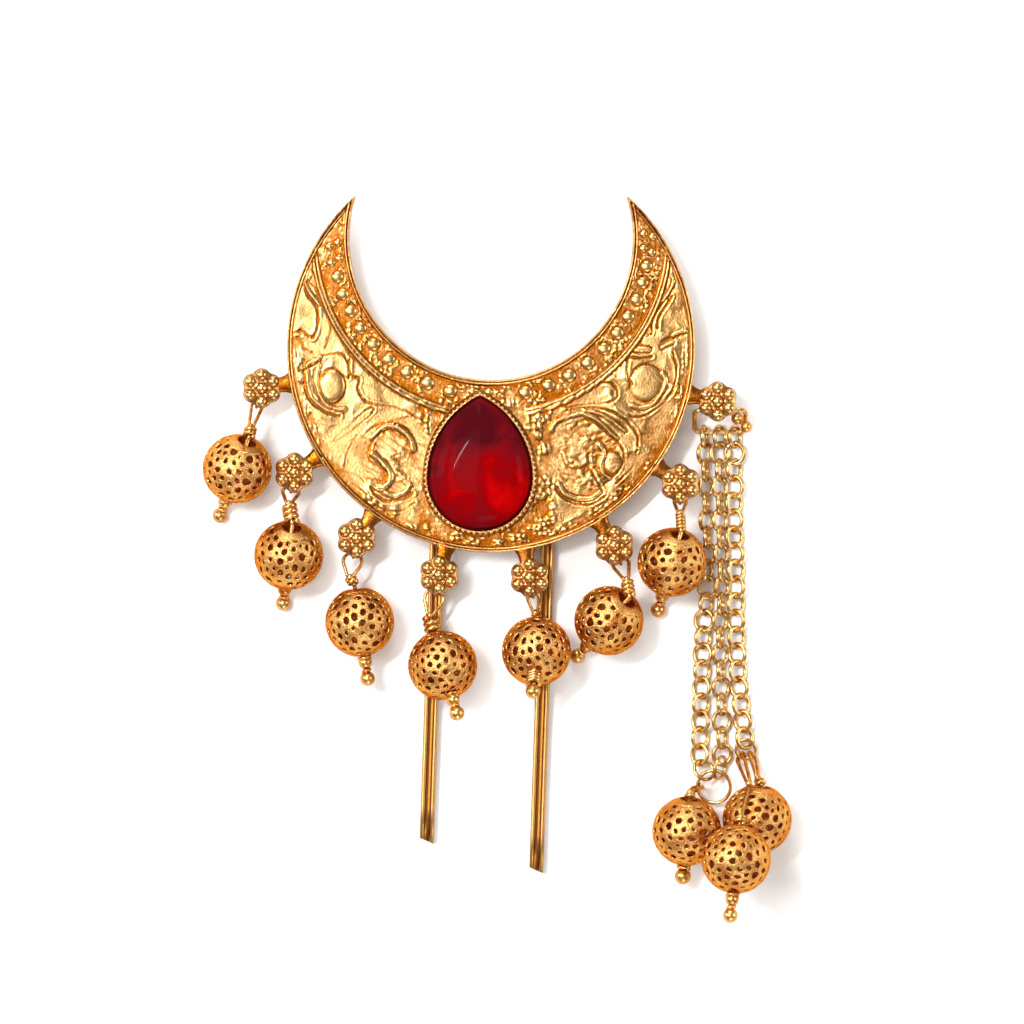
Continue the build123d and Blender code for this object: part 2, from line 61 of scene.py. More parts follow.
# Heights and sizes that the solids have too
OUTER, INNER, OFFSET, TIP_BLUNT = 28.8, 20.0, 15.5, 0.15
BACK, FIELD = 4.0, 5.5
TAB_TOP, TAB_BACK = 5.9, 5.3
EYELET_LOW, EYELET_HALF, EYELET_WIRE = 3.3, 0.68, 0.22
LOOP_HEIGHT, RING_HEIGHT = 3.87, 3.94
TAB_RING, TAB_PITCH, TAB_MIDDLE = OUTER + 4.0, 22.4, -91.65
STONE_X, STONE_Y, STONE_WIDTH, STONE_BOW = -1.55, -18.35, 15.0, 5.5
BALL = 4.9
LOOP_WIRE, NECK_SPREAD, TAIL, END_BEAD, COIL_STAND = 0.25, 0.3, 3.4, 0.8, 0.4
ON_FORK = 1.95
FORK_X, FORK_Y, FORK_LOW, FORK_LEAN, FORK_HALF = 0.6, -15.2, 0.7, -2.0, 7.8
LEFT_PRONG, RIGHT_PRONG, TIP_SLANT = 54.6, 58.2, -21.0
SLEEVE_Y, SLEEVE_HALF_LENGTH = -20.5, 2.0
# Channel strip across: place, height, share of painted shade
FORK_SECTION = (
    (-1.0, 0.12, 0.5), (-0.88, 0.0, 0.5), (0.88, 0.0, 0.5), (1.0, 0.12, 0.5), (1.0, 0.98, 0.35),
    (0.94, 1.12, 0.1), (0.8, 1.19, 0.0), (0.65, 1.2, 0.0), (0.5, 1.18, 0.05), (0.42, 1.1, 0.3),
    (0.375, 0.95, 0.8), (0.375, 0.7, 1.0), (0.28, 0.6, 1.0), (-0.28, 0.6, 1.0), (-0.375, 0.7, 1.0),
    (-0.375, 0.95, 0.8), (-0.42, 1.1, 0.3), (-0.5, 1.18, 0.05), (-0.65, 1.2, 0.0), (-0.8, 1.19, 0.0),
    (-0.94, 1.12, 0.1), (-1.0, 0.98, 0.35),
)
# Each pin's winding under its loop: outer radius and wire radius
WINDS = ((0.95, 0.34), (1.15, 0.43), (0.85, 0.36), (1.2, 0.45), (0.75, 0.3), (0.95, 0.37), (0.74, 0.27))
CLUSTER_WIND = (0.8, 0.3)

# Mouth's and neck's place from the flower, mouth's azimuth and rise, coil's dip,
# loop's end radius, whether the ball lies on the fork
DROPS = (
    (-1.91, -7.33, 69, 29, -1.49, -5.43, 15, 0.75, 0),
    (-0.28, -7.53, 83, 32, -0.79, -4.35, 15, 1.15, 0),
    (-0.25, -6.96, 98, 0, -0.97, -5.51, 0, 1.3, 0),
    (-0.75, -8.66, 107, -30, -1.31, -5.72, 0, 1.3, 1),
    (1.26, -6.96, 85, -46, 0.86, -4.96, 0, 0.8, 1),
    (1.91, -7.5, 49, 34, 1.74, -4.77, 15, 1.15, 0),
    (0.02, -7.0, 74, 30, 0.0, -4.08, 18, 0.85, 0),
)
# Oblong ring that carries the chains
RING_WIRE, RING_HALF, RING_CORNER, RING_SHIFT = 0.32, 3.6, 0.8, 0.37
# End rings: carrier, place from it, height, radius, tilts to the side and the front
END_WIRE = 0.25
END_RINGS = {
    "left": ("chain_left", 0.61, -2.18, 1.56, 1.5, 25.0, -29.8),
    "middle": ("chain_middle", -0.32, -1.87, 1.8, 1.6, 58.7, 23.2),
    "shared": ("end_ring_left", 1.39, -2.33, 1.86, 2.35, -9.1, 10.9),
    "right": ("chain_right", 0.15, -1.6, 1.03, 1.35, -0.3, 8.8),
}
# Balls at the chains' ends: place in ball radii, mouth's azimuth and rise, tail,
# ring, neck's place from the ring and above a ball's radius, hook's direction
CLUSTER_SHIFT, CLUSTER_DROP = 1.1, 0.49
CLUSTER = {
    "left": (-1.01, -0.17, 1.0, 85, 12, 2.0, "shared", (-3.45, -0.74, 1.0), 185),
    "front": (0.38, -0.93, 2.61, 84, -10, 3.4, "right", (0.35, -4.72, 3.1), -125),
    "right": (1.01, 0.17, 1.0, 83, 8, 3.4, "right", (1.65, -4.02, 0.7), -45),
}
VISIBLE_LINK_WIRE, LINK_HALF_LENGTH, LINK_HALF_WIDTH, LINK_TILT = 0.31, 1.45, 1.3, 35.0
LINK_PITCH, LINK_HEIGHT, BAR_DROP, BAR_SEAT = 2.3625, 1.05, 4.28, 0.66
# Shares of a chain's length at which its route and its roll are given
ROUTE_SHARES = (0.0, 0.15, 0.3, 0.45, 0.6, 0.8, 1.0)
# How far the links are rolled on their sides there, in degrees
ROLLS = {
    "left": (58, 62, 62, 40, 8, 0, 0),
    "middle": (25, 60, 62, 62, 60, 52, 40),
    "right": (28, 10, 0, 0, 0, 0, 0),
}
# Number of links, their places across from the last flower there, and how far they are lifted
CHAINS = {
    "left": (20, (-1.78, -1.63, -1.48, -1.23, -1.93, -2.23, -2.48), (0,) * 7),
    "middle": (20, (0.37, 0.37, 0.42, 0.67, 0.37, 0.57, 0.72), (0.0, 0.6, 0.6, 0.6, 0.3, 0.0, 0.0)),
    "right": (19, (2.52, 2.37, 2.37, 2.67, 2.62, 2.97, 3.87), (0,) * 7),
}

# The plate's drawing in millimetres: width, height and points of each line; a line with a
# height below nothing is cut in, the others stand up
LINES = (
    # Left half
    (0.4, -0.24, ((-19.9, -1.7), (-19.9, -3.7), (-18.6, -4.4), (-18.7, -5.8), (-18.1, -7.1),
     (-16.8, -7.9), (-14.4, -8.1), (-12.5, -8.7), (-10.7, -9.6), (-9.1, -10.7))),
    (0.5, -0.28, ((-26.3, -1.7), (-26.3, -4.6), (-25.9, -6.5), (-24.9, -7.9), (-23.1, -9.1),
     (-21.3, -9.6))),
    (0.34, -0.2, ((-22.5, -13.2), (-20.4, -11.2), (-18.6, -9.6), (-17.1, -8.5), (-16.4, -8.7),
     (-17.1, -9.6), (-18.6, -10.7), (-20.0, -11.9), (-22.0, -13.2))),
    (0.3, -0.16, ((-18.2, -12.6), (-16.8, -11.3), (-15.0, -10.5), (-13.2, -10.0), (-11.6, -9.6))),
    (0.35, -0.2, ((-17.5, -11.8), (-16.1, -10.8), (-14.3, -10.4), (-12.7, -10.9), (-11.4, -11.9),
     (-10.6, -13.2), (-10.4, -14.6))),
    (0.7, 0.3, ((-16.8, -12.5), (-15.3, -11.2), (-13.9, -10.9), (-12.5, -11.6), (-11.4, -12.8),
     (-11.0, -14.3))),
    (0.35, -0.2, ((-17.1, -14.3), (-16.6, -13.0), (-15.5, -11.8), (-14.1, -11.5), (-12.7, -12.1),
     (-11.7, -13.4), (-11.4, -14.8))),
    (0.45, -0.3, ((-16.8, -13.2), (-17.3, -14.6), (-17.1, -15.9), (-16.1, -16.4), (-15.2, -17.1),
     (-14.6, -18.4), (-15.3, -18.8), (-16.4, -18.4), (-17.5, -18.4))),
    (0.8, 0.4, ((-16.7, -14.9), (-15.5, -15.9), (-14.4, -17.1), (-14.2, -18.4), (-15.0, -19.5),
     (-16.1, -19.7))),
    (0.45, -0.28, ((-16.9, -19.5), (-16.2, -20.7), (-14.8, -21.5), (-13.2, -21.5), (-11.8, -21.1),
     (-11.0, -20.4))),
    (0.6, 0.35, ((-14.8, -20.5), (-13.5, -20.8), (-12.1, -20.2), (-11.4, -19.3))),
    (0.25, -0.14, ((-13.5, -17.9), (-11.9, -17.5))),
    (0.25, -0.14, ((-13.4, -19.0), (-11.8, -18.4))),
    (0.25, -0.14, ((-14.1, -15.3), (-12.5, -14.8))),
    (0.25, -0.14, ((-13.8, -16.6), (-12.0, -16.1))),
    (0.4, -0.26, ((-20.7, -16.6), (-20.4, -15.0), (-19.7, -13.4), (-18.9, -12.3))),
    (0.3, -0.18, ((-20.4, -17.5), (-18.9, -17.9), (-17.9, -18.9))),
    (0.3, -0.18, ((-19.7, -18.9), (-18.6, -19.7), (-17.5, -20.6))),
    (0.35, -0.2, ((-16.4, -22.0), (-14.6, -22.9), (-12.5, -22.9), (-10.7, -21.8))),
    (0.55, 0.32, ((-24.1, -2.4), (-24.6, -4.4), (-24.3, -6.2), (-23.5, -7.6), (-22.4, -8.4),
     (-20.6, -8.7))),
    (0.4, -0.24, ((-24.5, 13.8), (-24.5, 12.6), (-24.0, 10.8), (-23.4, 9.4))),
    (0.5, 0.3, ((-25.1, 11.7), (-25.3, 10.8), (-25.6, 9.9))),
    (0.6, 0.32, ((-26.2, 9.0), (-25.3, 7.6), (-24.3, 6.2))),
    (0.42, -0.28, ((-26.4, 8.9), (-25.8, 7.4), (-24.5, 5.7), (-24.3, 4.2), (-24.5, 2.6), (-25.0, 1.4))),
    (0.4, -0.22, ((-25.8, 9.5), (-24.6, 8.2), (-24.0, 6.9), (-23.4, 5.7))),
    (0.5, 0.28, ((-24.4, 8.7), (-23.7, 7.3), (-23.3, 5.9))),
    (0.45, -0.24, ((-23.1, 5.6), (-22.8, 3.8), (-22.6, 2.6), (-23.0, 1.2), (-23.5, 0.0))),
    (0.45, -0.24, ((-27.8, 2.1), (-26.6, 2.5), (-25.7, 1.8), (-25.1, 1.4))),
    (0.6, -0.26, ((-28.5, 1.0), (-27.5, 1.4), (-26.8, 1.0), (-26.2, 0.0), (-25.2, -0.6))),
    (0.6, 0.32, ((-26.6, -2.8), (-25.5, -2.1), (-24.1, -1.3))),
    (0.35, -0.24, ((-26.2, -3.1), (-25.3, -2.5), (-24.4, -2.0))),
    (0.42, -0.24, ((-23.4, -1.0), (-22.1, -0.8), (-21.0, -0.9), (-20.3, -1.6), (-20.0, -2.8),
     (-20.0, -4.2))),
    # Right half
    (0.4, -0.22, ((25.6, -0.7), (26.2, -2.8), (25.8, -5.5), (24.6, -7.3), (23.1, -8.7), (21.3, -9.7),
     (19.5, -9.5))),
    (0.45, -0.28, ((22.7, -1.2), (21.1, -1.5), (19.6, -1.3), (19.2, -2.6), (19.3, -4.3), (19.8, -5.2))),
    (0.55, 0.32, ((24.2, -3.5), (24.6, -4.8), (23.8, -6.6), (22.7, -7.9), (21.3, -8.4), (19.7, -8.1))),
    (0.38, -0.24, ((10.1, -8.3), (11.9, -6.8), (14.1, -5.5), (16.6, -4.8), (17.8, -5.9), (17.7, -7.0),
     (16.2, -7.7), (13.0, -7.9), (10.5, -8.4))),
    (0.4, -0.26, ((8.5, -10.4), (10.5, -8.9), (13.0, -8.4), (15.5, -8.5), (17.3, -9.1), (18.8, -10.0),
     (19.8, -11.1), (20.6, -12.3), (20.7, -13.8))),
    (0.5, 0.3, ((13.2, -8.9), (15.5, -9.3), (17.3, -10.4), (18.9, -11.7))),
    (0.55, 0.3, ((8.5, -11.6), (9.2, -10.4), (11.0, -9.6), (13.0, -9.3), (14.6, -9.9), (16.2, -11.3),
     (17.7, -12.7))),
    (0.4, -0.26, ((11.2, -11.4), (12.3, -10.6), (13.5, -10.1), (15.0, -10.7), (16.2, -11.8),
     (17.7, -13.1), (18.6, -14.3), (18.7, -15.8), (18.0, -17.2), (17.1, -18.2))),
    (0.6, 0.36, ((15.3, -13.6), (15.9, -15.0), (15.5, -16.3), (15.8, -17.6), (16.7, -18.3))),
    (0.4, -0.26, ((10.0, -14.9), (10.5, -16.3), (11.6, -17.0), (13.0, -16.8), (13.8, -15.9),
     (13.7, -15.0), (14.8, -14.7))),
    (0.4, -0.26, ((13.6, -16.6), (14.4, -17.7), (15.2, -19.2), (15.7, -20.1))),
    (0.6, 0.34, ((9.6, -19.2), (10.5, -20.5), (12.3, -21.2), (14.1, -21.1), (15.3, -20.3))),
    (0.35, -0.22, ((9.2, -19.9), (10.5, -21.3), (12.3, -22.0), (14.4, -21.9), (16.2, -20.8))),
    (0.35, -0.22, ((20.6, -14.3), (20.2, -16.1), (19.1, -17.7), (17.7, -19.0))),
    (0.25, -0.14, ((9.8, -17.6), (11.2, -17.9))),
    (0.25, -0.14, ((10.0, -18.4), (11.6, -18.5))),
    (0.5, 0.34, ((25.5, 10.1), (25.7, 9.2), (25.1, 8.0), (24.2, 6.8), (23.3, 5.7), (22.7, 4.5),
     (22.3, 3.2), (22.2, 2.2))),
    (0.3, -0.2, ((24.6, 6.6), (23.5, 5.3), (22.9, 4.0), (22.6, 2.0))),
    (0.5, 0.28, ((24.3, 10.3), (23.9, 9.2), (23.6, 8.0), (22.8, 7.1))),
    (0.5, -0.28, ((25.4, 7.3), (24.8, 6.0), (24.0, 5.0), (23.6, 4.0), (23.5, 2.9))),
    (0.4, 0.3, ((25.6, 1.8), (26.8, 2.4), (28.1, 2.4))),
    (0.4, 0.26, ((24.2, 0.2), (25.6, 0.8))),
    (0.6, 0.3, ((19.5, -0.2), (20.9, -0.2), (22.3, -0.2))),
    (0.3, -0.2, ((26.7, 11.0), (27.1, 9.4), (27.5, 7.3), (27.6, 5.4), (27.7, 3.8))),
)
# Domes: centre, half length, half width, turn, height
BOSSES = (
    (-22.4, -5.4, 2.3, 1.8, 88, 0.3),
    (21.9, -4.9, 2.5, 2.2, 80, 0.16),
    (17.2, -16.2, 1.5, 1.1, 90, 0.12),
)
# Sunk leaf shapes: centre, half length, half width, turn, depth
HOLLOWS = (
    (25.7, 1.5, 2.0, 0.42, 20, 0.4),
    (-27.3, 0.6, 1.3, 0.7, 20, 0.35),
    (-18.2, -14.3, 1.5, 1.6, 0, 0.22),
    (-15.2, -17.8, 0.6, 0.9, 10, 0.38),
    (13.6, -17.0, 0.5, 1.2, -20, 0.3),
)
# Band granules: radius of their row; side, first one's swing from straight down, count
GRANULE_RING = 22.3
GRANULE_ROWS = ((-1, 14.8, 11), (1, 12.6, 12))
# Small grains by the stone: place and radius
DROPLETS = ((-2.6, -6.1, 0.5), (-0.3, -6.2, 0.55), (1.6, -8.0, 0.5), (6.7, -9.7, 0.6))
# Half the width of the floor
FLOOR_HALF = 3000


# Colours and materials

def linear(hex_colour):
    """Linear RGBA of an sRGB hex colour."""
    parts = [int(hex_colour[k:k + 2], 16) / 255 for k in (1, 3, 5)]
    return [c / 12.92 if c <= 0.04045 else ((c + 0.055) / 1.055) ** 2.4 for c in parts] + [1.0]


def add_node(tree, kind, links=None, **settings):
    """A node with its settings; links maps each input to the socket or the value that it gets."""
    node = tree.nodes.new(kind)
    for name, value in settings.items():
        setattr(node, name, value)
    for name, value in (links or {}).items():
        if isinstance(value, bpy.types.NodeSocket):
            tree.links.new(value, node.inputs[name])
        else:
            node.inputs[name].default_value = value
    return node


def worked_out(tree, operation, one, two, **settings):
    """Output of a math node."""
    return add_node(tree, "ShaderNodeMath", {0: one, 1: two}, operation=operation, **settings).outputs[0]


def spread(tree, value, low, high, to_low=0.0, to_high=1.0):
    """A value between two limits, brought between two others."""
    return add_node(tree, "ShaderNodeMapRange", {
        "Value": value, "From Min": low, "From Max": high, "To Min": to_low, "To Max": to_high}).outputs[0]


def attribute_share(tree, name):
    """Share that the mesh carries in an attribute."""
    return add_node(tree, "ShaderNodeAttribute", attribute_name=name).outputs["Fac"]


def noise(tree, size, detail, roughness, distortion=0.0):
    """Noise of a size in millimetres, fixed to the object."""
    where = add_node(tree, "ShaderNodeTexCoord").outputs["Object"]
    return add_node(tree, "ShaderNodeTexNoise", {
        "Vector": where, "Scale": 1 / (size * MM), "Detail": detail, "Roughness": roughness,
        "Distortion": distortion}).outputs["Fac"]


def new_material(name, constants):
    """Tree and shader of a new material; what is the same all over is set on the shader itself."""
    material = bpy.data.materials.new(name)
    material.use_nodes = True
    shader = material.node_tree.nodes["Principled BSDF"]
    for socket, value in constants.items():
        shader.inputs[socket].default_value = value
    return material.node_tree, shader


def gilt_material(name, bright, deep, roughness, grain_size, bump, cavity=None, edge="#FFFFFF"):
    """Gilt brass: a bright colour on the heights and a deeper one in the recesses, where it is painted
    shade.

    grain_size is that of the cast or drawn grain in millimetres; cavity names an attribute that is 1 where
    the deep colour goes, mostly as painted shade in the recesses, and without one the gilt is only mottled;
    edge tints what is seen at a slant.
    """
    tree, shader = new_material(name, {"Metallic": 1.0, "Specular Tint": linear(edge)})
    share = spread(tree, noise(tree, 2.2, 5.0, 0.6), 0.45, 0.75)
    if cavity:
        mottle = worked_out(tree, "MULTIPLY", share, 0.35)
        share = worked_out(tree, "ADD", attribute_share(tree, cavity), mottle, use_clamp=True)
    colour = add_node(tree, "ShaderNodeMix", {"Factor": share, 6: linear(bright), 7: linear(deep)},
                      data_type="RGBA")
    grain = noise(tree, grain_size, 4.0, 0.65)
    relief = add_node(tree, "ShaderNodeBump", {"Height": grain, "Strength": bump, "Distance": 0.12 * MM})
    polish = spread(tree, grain, 0.3, 0.7, roughness * 0.7, roughness * 1.4)
    tree.links.new(colour.outputs[2], shader.inputs["Base Color"])
    tree.links.new(polish, shader.inputs["Roughness"])
    tree.links.new(relief.outputs["Normal"], shader.inputs["Normal"])


def ruby_glass():
    """Moulded red glass over a foiled back, its light painted in: painted shade at the top and the rim, and
    glowing red where light would come up off the foiled back.
    """
    tree, shader = new_material("ruby_pressed_glass", {
        "Roughness": 0.03, "IOR": 1.52, "Specular IOR Level": 0.01})
    ripple = spread(tree, noise(tree, 4.5, 2.0, 0.45, 0.5), 0.3, 0.7, -0.22, 0.22)
    # Painted light and shade carried by the mesh, broken by a random ripple
    share = worked_out(tree, "ADD", attribute_share(tree, "glow"), ripple, use_clamp=True)
    ramp = add_node(tree, "ShaderNodeValToRGB", {"Fac": share})
    stops = ((0.0, "#43080F"), (0.22, "#600A12"), (0.55, "#7C0104"), (1.0, "#B80202"))
    for k, (place, colour) in enumerate(stops):
        stop = ramp.color_ramp.elements[k] if k < 2 else ramp.color_ramp.elements.new(place)
        stop.position = place
        stop.color = linear(colour)
    tree.links.new(ramp.outputs["Color"], shader.inputs["Base Color"])


def make_materials():
    """The brooch's finishes, each by its real name."""
    # Cast brass, gilt: heights pale yellow, recesses painted orange-brown as shade
    gilt_material("cast_gilt_brass", "#D0A468", "#8E4C0C", 0.2, 0.4, 0.4, "recess")
    # Pierced sheet, gilt over copper: warmer and duller, and orange towards the ball's outline
    gilt_material("pierced_gilt_sheet", "#D49E5C", "#B05C18", 0.25, 0.4, 1.0, None, "#F09A50")
    # Back of the pierced sheet, never gilt: dull brown copper that shows in the holes
    gilt_material("bare_copper_inside", "#D0763C", "#94481C", 0.5, 0.5, 0.2)
    # Drawn wire, gilt: mottled from pale to reddish
    gilt_material("wound_gilt_wire", "#D8A866", "#A85C1C", 0.26, 0.5, 0.3, None, "#F0A860")
    # Machine chain, flash gilt: pale and clean
    gilt_material("chain_gilt_wire", "#D8B274", "#B07428", 0.2, 0.5, 0.15)
    # Folded channel strip, thin gilt, painted darker brown in the groove as shade
    gilt_material("channel_gilt_strip", "#B48A50", "#96602A", 0.36, 0.9, 0.12, "recess")
    ruby_glass()


# Mesh making

def heading(azimuth, rise=0.0):
    """Unit vector from its direction in plan and its rise, in degrees."""
    flat = cos(radians(rise))
    return Vector((flat * cos(radians(azimuth)), flat * sin(radians(azimuth)), sin(radians(rise))))


def up(height):
    """Vector straight up."""
    return Vector((0, 0, height))


def level(vector):
    """The same vector with no height."""
    return Vector((vector.x, vector.y, 0))


def skin(rings, closed=False, caps=True):
    """Points and faces of the surface through rings of points, capped or closed to a loop."""
    count = len(rings[0])
    points = [point for ring in rings for point in ring]
    faces = []
    for k in range(len(rings) if closed else len(rings) - 1):
        a, b = k * count, (k + 1) % len(rings) * count
        faces += [(a + j, a + (j + 1) % count, b + (j + 1) % count, b + j) for j in range(count)]
    if caps:
        faces += [tuple(range(count)), tuple(range(len(points) - count, len(points)))]
    return points, faces


def tube(path, radius, sides=12, closed=False):
    """Points and faces of a round wire along a path of vectors."""
    count = len(path)
    rings, side, last = [], None, None
    for k, spot in enumerate(path):
        ahead = path[(k + 1) % count] if closed or k < count - 1 else spot
        behind = path[k - 1] if closed or k > 0 else spot
        way = (ahead - behind).normalized()
        side = last.rotation_difference(way) @ side if last else way.orthogonal()
        side = (side - way * side.dot(way)).normalized()
        last, other = way, way.cross(side)
        rings.append([spot + (side * cos(turn) + other * sin(turn)) * radius
                      for turn in (2 * pi * j / sides for j in range(sides))])
    points, faces = skin(rings, caps=not closed)
    if closed:
        end = (count - 1) * sides
        twist = min(range(sides), key=lambda j: (points[j] - points[end]).length)
        faces += [(end + j, end + (j + 1) % sides, (j + 1 + twist) % sides, (j + twist) % sides)
                  for j in range(sides)]
    return points, faces


def round_bead(centre, radius, rings=12, sides=20):
    """Points and faces of a bead."""
    points, faces = skin([[centre + heading(360 * j / sides, 90 - 180 * k / rings) * radius
                           for j in range(sides)] for k in range(1, rings)], caps=False)
    top, low = len(points), len(points) - sides
    faces += [(top, (j + 1) % sides, j) for j in range(sides)]
    faces += [(top + 1, low + j, low + (j + 1) % sides) for j in range(sides)]
    return points + [centre + up(radius), centre - up(radius)], faces


def helix(start, end, radius, turns, steps=18):
    """Path of a wire wound round the line from start to end."""
    way = (end - start).normalized()
    side = way.orthogonal().normalized()
    other = way.cross(side)
    count = int(turns * steps)
    return [start + (end - start) * (k / count)
            + (side * cos(2 * pi * turns * k / count) + other * sin(2 * pi * turns * k / count)) * radius
            for k in range(count + 1)]


def pear(grow_by=0.0, scale=1.0, steps=24):
    """The stone's outline in millimetres, grown all round, from the apex leftwards; no point twice."""
    half = (STONE_WIDTH / 2 + grow_by) * scale
    bow = STONE_BOW * scale
    side = half + bow
    full = acos(bow / side)
    points = []
    for k in range(steps):
        turn = full * (1 - k / steps)
        points.append((bow - side * cos(turn), side * sin(turn)))
    for k in range(2 * steps):
        turn = pi + pi * k / (2 * steps)
        points.append((half * cos(turn), half * sin(turn)))
    for k in range(steps):
        turn = full * k / steps
        points.append((side * cos(turn) - bow, side * sin(turn)))
    return [(STONE_X + x, STONE_Y + y) for x, y in points]


def mesh_object(name, points, faces):
    """A new object from points in millimetres and faces."""
    mesh = bpy.data.meshes.new(name)
    mesh.from_pydata([Vector(p) * MM for p in points], [], faces)
    mesh.update()
    return bpy.data.objects.new(name, mesh)


def give_share(obj, attribute, value):
    """An attribute for the materials: one value for all the mesh's points, or one for each."""
    data = obj.data.attributes.new(attribute, "FLOAT", "POINT").data
    data.foreach_set("value", value if isinstance(value, list) else [value] * len(obj.data.vertices))


def finish_piece(obj, material=None, nodes=(), smooth=True):
    """Puts a finished mesh object on the frame: material, shading, body and the nodes it stands for."""
    bpy.context.scene.collection.objects.link(obj)
    if material:
        obj.data.materials.append(bpy.data.materials[material])
    obj.data.polygons.foreach_set("use_smooth", [smooth] * len(obj.data.polygons))
    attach(obj, "root")
    if nodes:
        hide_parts(*nodes)


def closed_piece(name, parts, material, nodes=(), slot="plate_gold", smooth=True, **shares):
    """A finished piece from (points, faces) pairs, its faces turned out; shares are its attributes."""
    points, faces = [], []
    for some_points, some_faces in parts:
        start = len(points)
        points += some_points
        faces += [tuple(start + k for k in face) for face in some_faces]
    obj = mesh_object(name, points, faces)
    work = bmesh.new()
    work.from_mesh(obj.data)
    bmesh.ops.recalc_face_normals(work, faces=work.faces)
    work.to_mesh(obj.data)
    work.free()
    for attribute, value in shares.items():
        give_share(obj, attribute, value)
    finish_piece(obj, material, nodes, smooth)


# Geometry Nodes

def new_tree(name, sockets):
    """A geometry tree with its named inputs, and its group input and output nodes."""
    tree = bpy.data.node_groups.new(name, "GeometryNodeTree")
    tree.interface.new_socket(name="Geometry", in_out="OUTPUT", socket_type="NodeSocketGeometry")
    tree.interface.new_socket(name="Geometry", in_out="INPUT", socket_type="NodeSocketGeometry")
    tree.interface.new_socket(name="Material", in_out="INPUT", socket_type="NodeSocketMaterial")
    for socket_name, kind, value in sockets:
        socket = tree.interface.new_socket(name=socket_name, in_out="INPUT", socket_type=kind)
        socket.default_value = value
    return tree, tree.nodes.new("NodeGroupInput").outputs, tree.nodes.new("NodeGroupOutput")


def close_tree(tree, given, group_out, geometry):
    """Ends a tree in realised instances, smooth shading and its material."""
    real = add_node(tree, "GeometryNodeRealizeInstances", {"Geometry": geometry})
    shade = add_node(tree, "GeometryNodeSetShadeSmooth", {"Geometry": real.outputs[0]})
    paint = add_node(tree, "GeometryNodeSetMaterial", {
        "Geometry": shade.outputs[0], "Material": given["Material"]})
    tree.links.new(paint.outputs[0], group_out.inputs[0])


def grain_tree():
    """Round grains on a mesh's points, sized by the points' own radius."""
    tree, given, group_out = new_tree("round_grains", (
        ("Subdivisions", "NodeSocketInt", 3), ("Height", "NodeSocketFloat", 1.0)))
    grain = add_node(tree, "GeometryNodeMeshIcoSphere", {
        "Radius": 1.0, "Subdivisions": given["Subdivisions"]})
    size = add_node(tree, "GeometryNodeInputNamedAttribute", {"Name": "grain"},
                    data_type="FLOAT").outputs[0]
    scale = add_node(tree, "ShaderNodeCombineXYZ", {
        "X": size, "Y": size, "Z": worked_out(tree, "MULTIPLY", size, given["Height"])})
    placed = add_node(tree, "GeometryNodeInstanceOnPoints", {
        "Points": given["Geometry"], "Instance": grain.outputs["Mesh"], "Scale": scale.outputs[0]})
    close_tree(tree, given, group_out, placed.outputs[0])
    return tree


def link_tree():
    """Oval wire links on a mesh's points, each turned by the point's own angles."""
    tree, given, group_out = new_tree("chain_links", (
        ("Wire Radius", "NodeSocketFloat", VISIBLE_LINK_WIRE * MM),
        ("Half Length", "NodeSocketFloat", LINK_HALF_LENGTH * MM),
        ("Half Width", "NodeSocketFloat", LINK_HALF_WIDTH * MM)))
    ring = add_node(tree, "GeometryNodeCurvePrimitiveCircle", {"Resolution": 40, "Radius": 1.0})
    oval_size = add_node(tree, "ShaderNodeCombineXYZ", {
        "X": given["Half Length"], "Y": given["Half Width"], "Z": 1.0})
    shaped = add_node(tree, "GeometryNodeTransform", {
        "Geometry": ring.outputs[0], "Scale": oval_size.outputs[0]})
    wire = add_node(tree, "GeometryNodeCurvePrimitiveCircle", {
        "Resolution": 12, "Radius": given["Wire Radius"]})
    link = add_node(tree, "GeometryNodeCurveToMesh", {
        "Curve": shaped.outputs[0], "Profile Curve": wire.outputs[0]})
    turn = add_node(tree, "GeometryNodeInputNamedAttribute", {"Name": "turn"}, data_type="FLOAT_VECTOR")
    placed = add_node(tree, "GeometryNodeInstanceOnPoints", {
        "Points": given["Geometry"], "Instance": link.outputs[0], "Rotation": turn.outputs["Attribute"]})
    close_tree(tree, given, group_out, placed.outputs[0])
    return tree


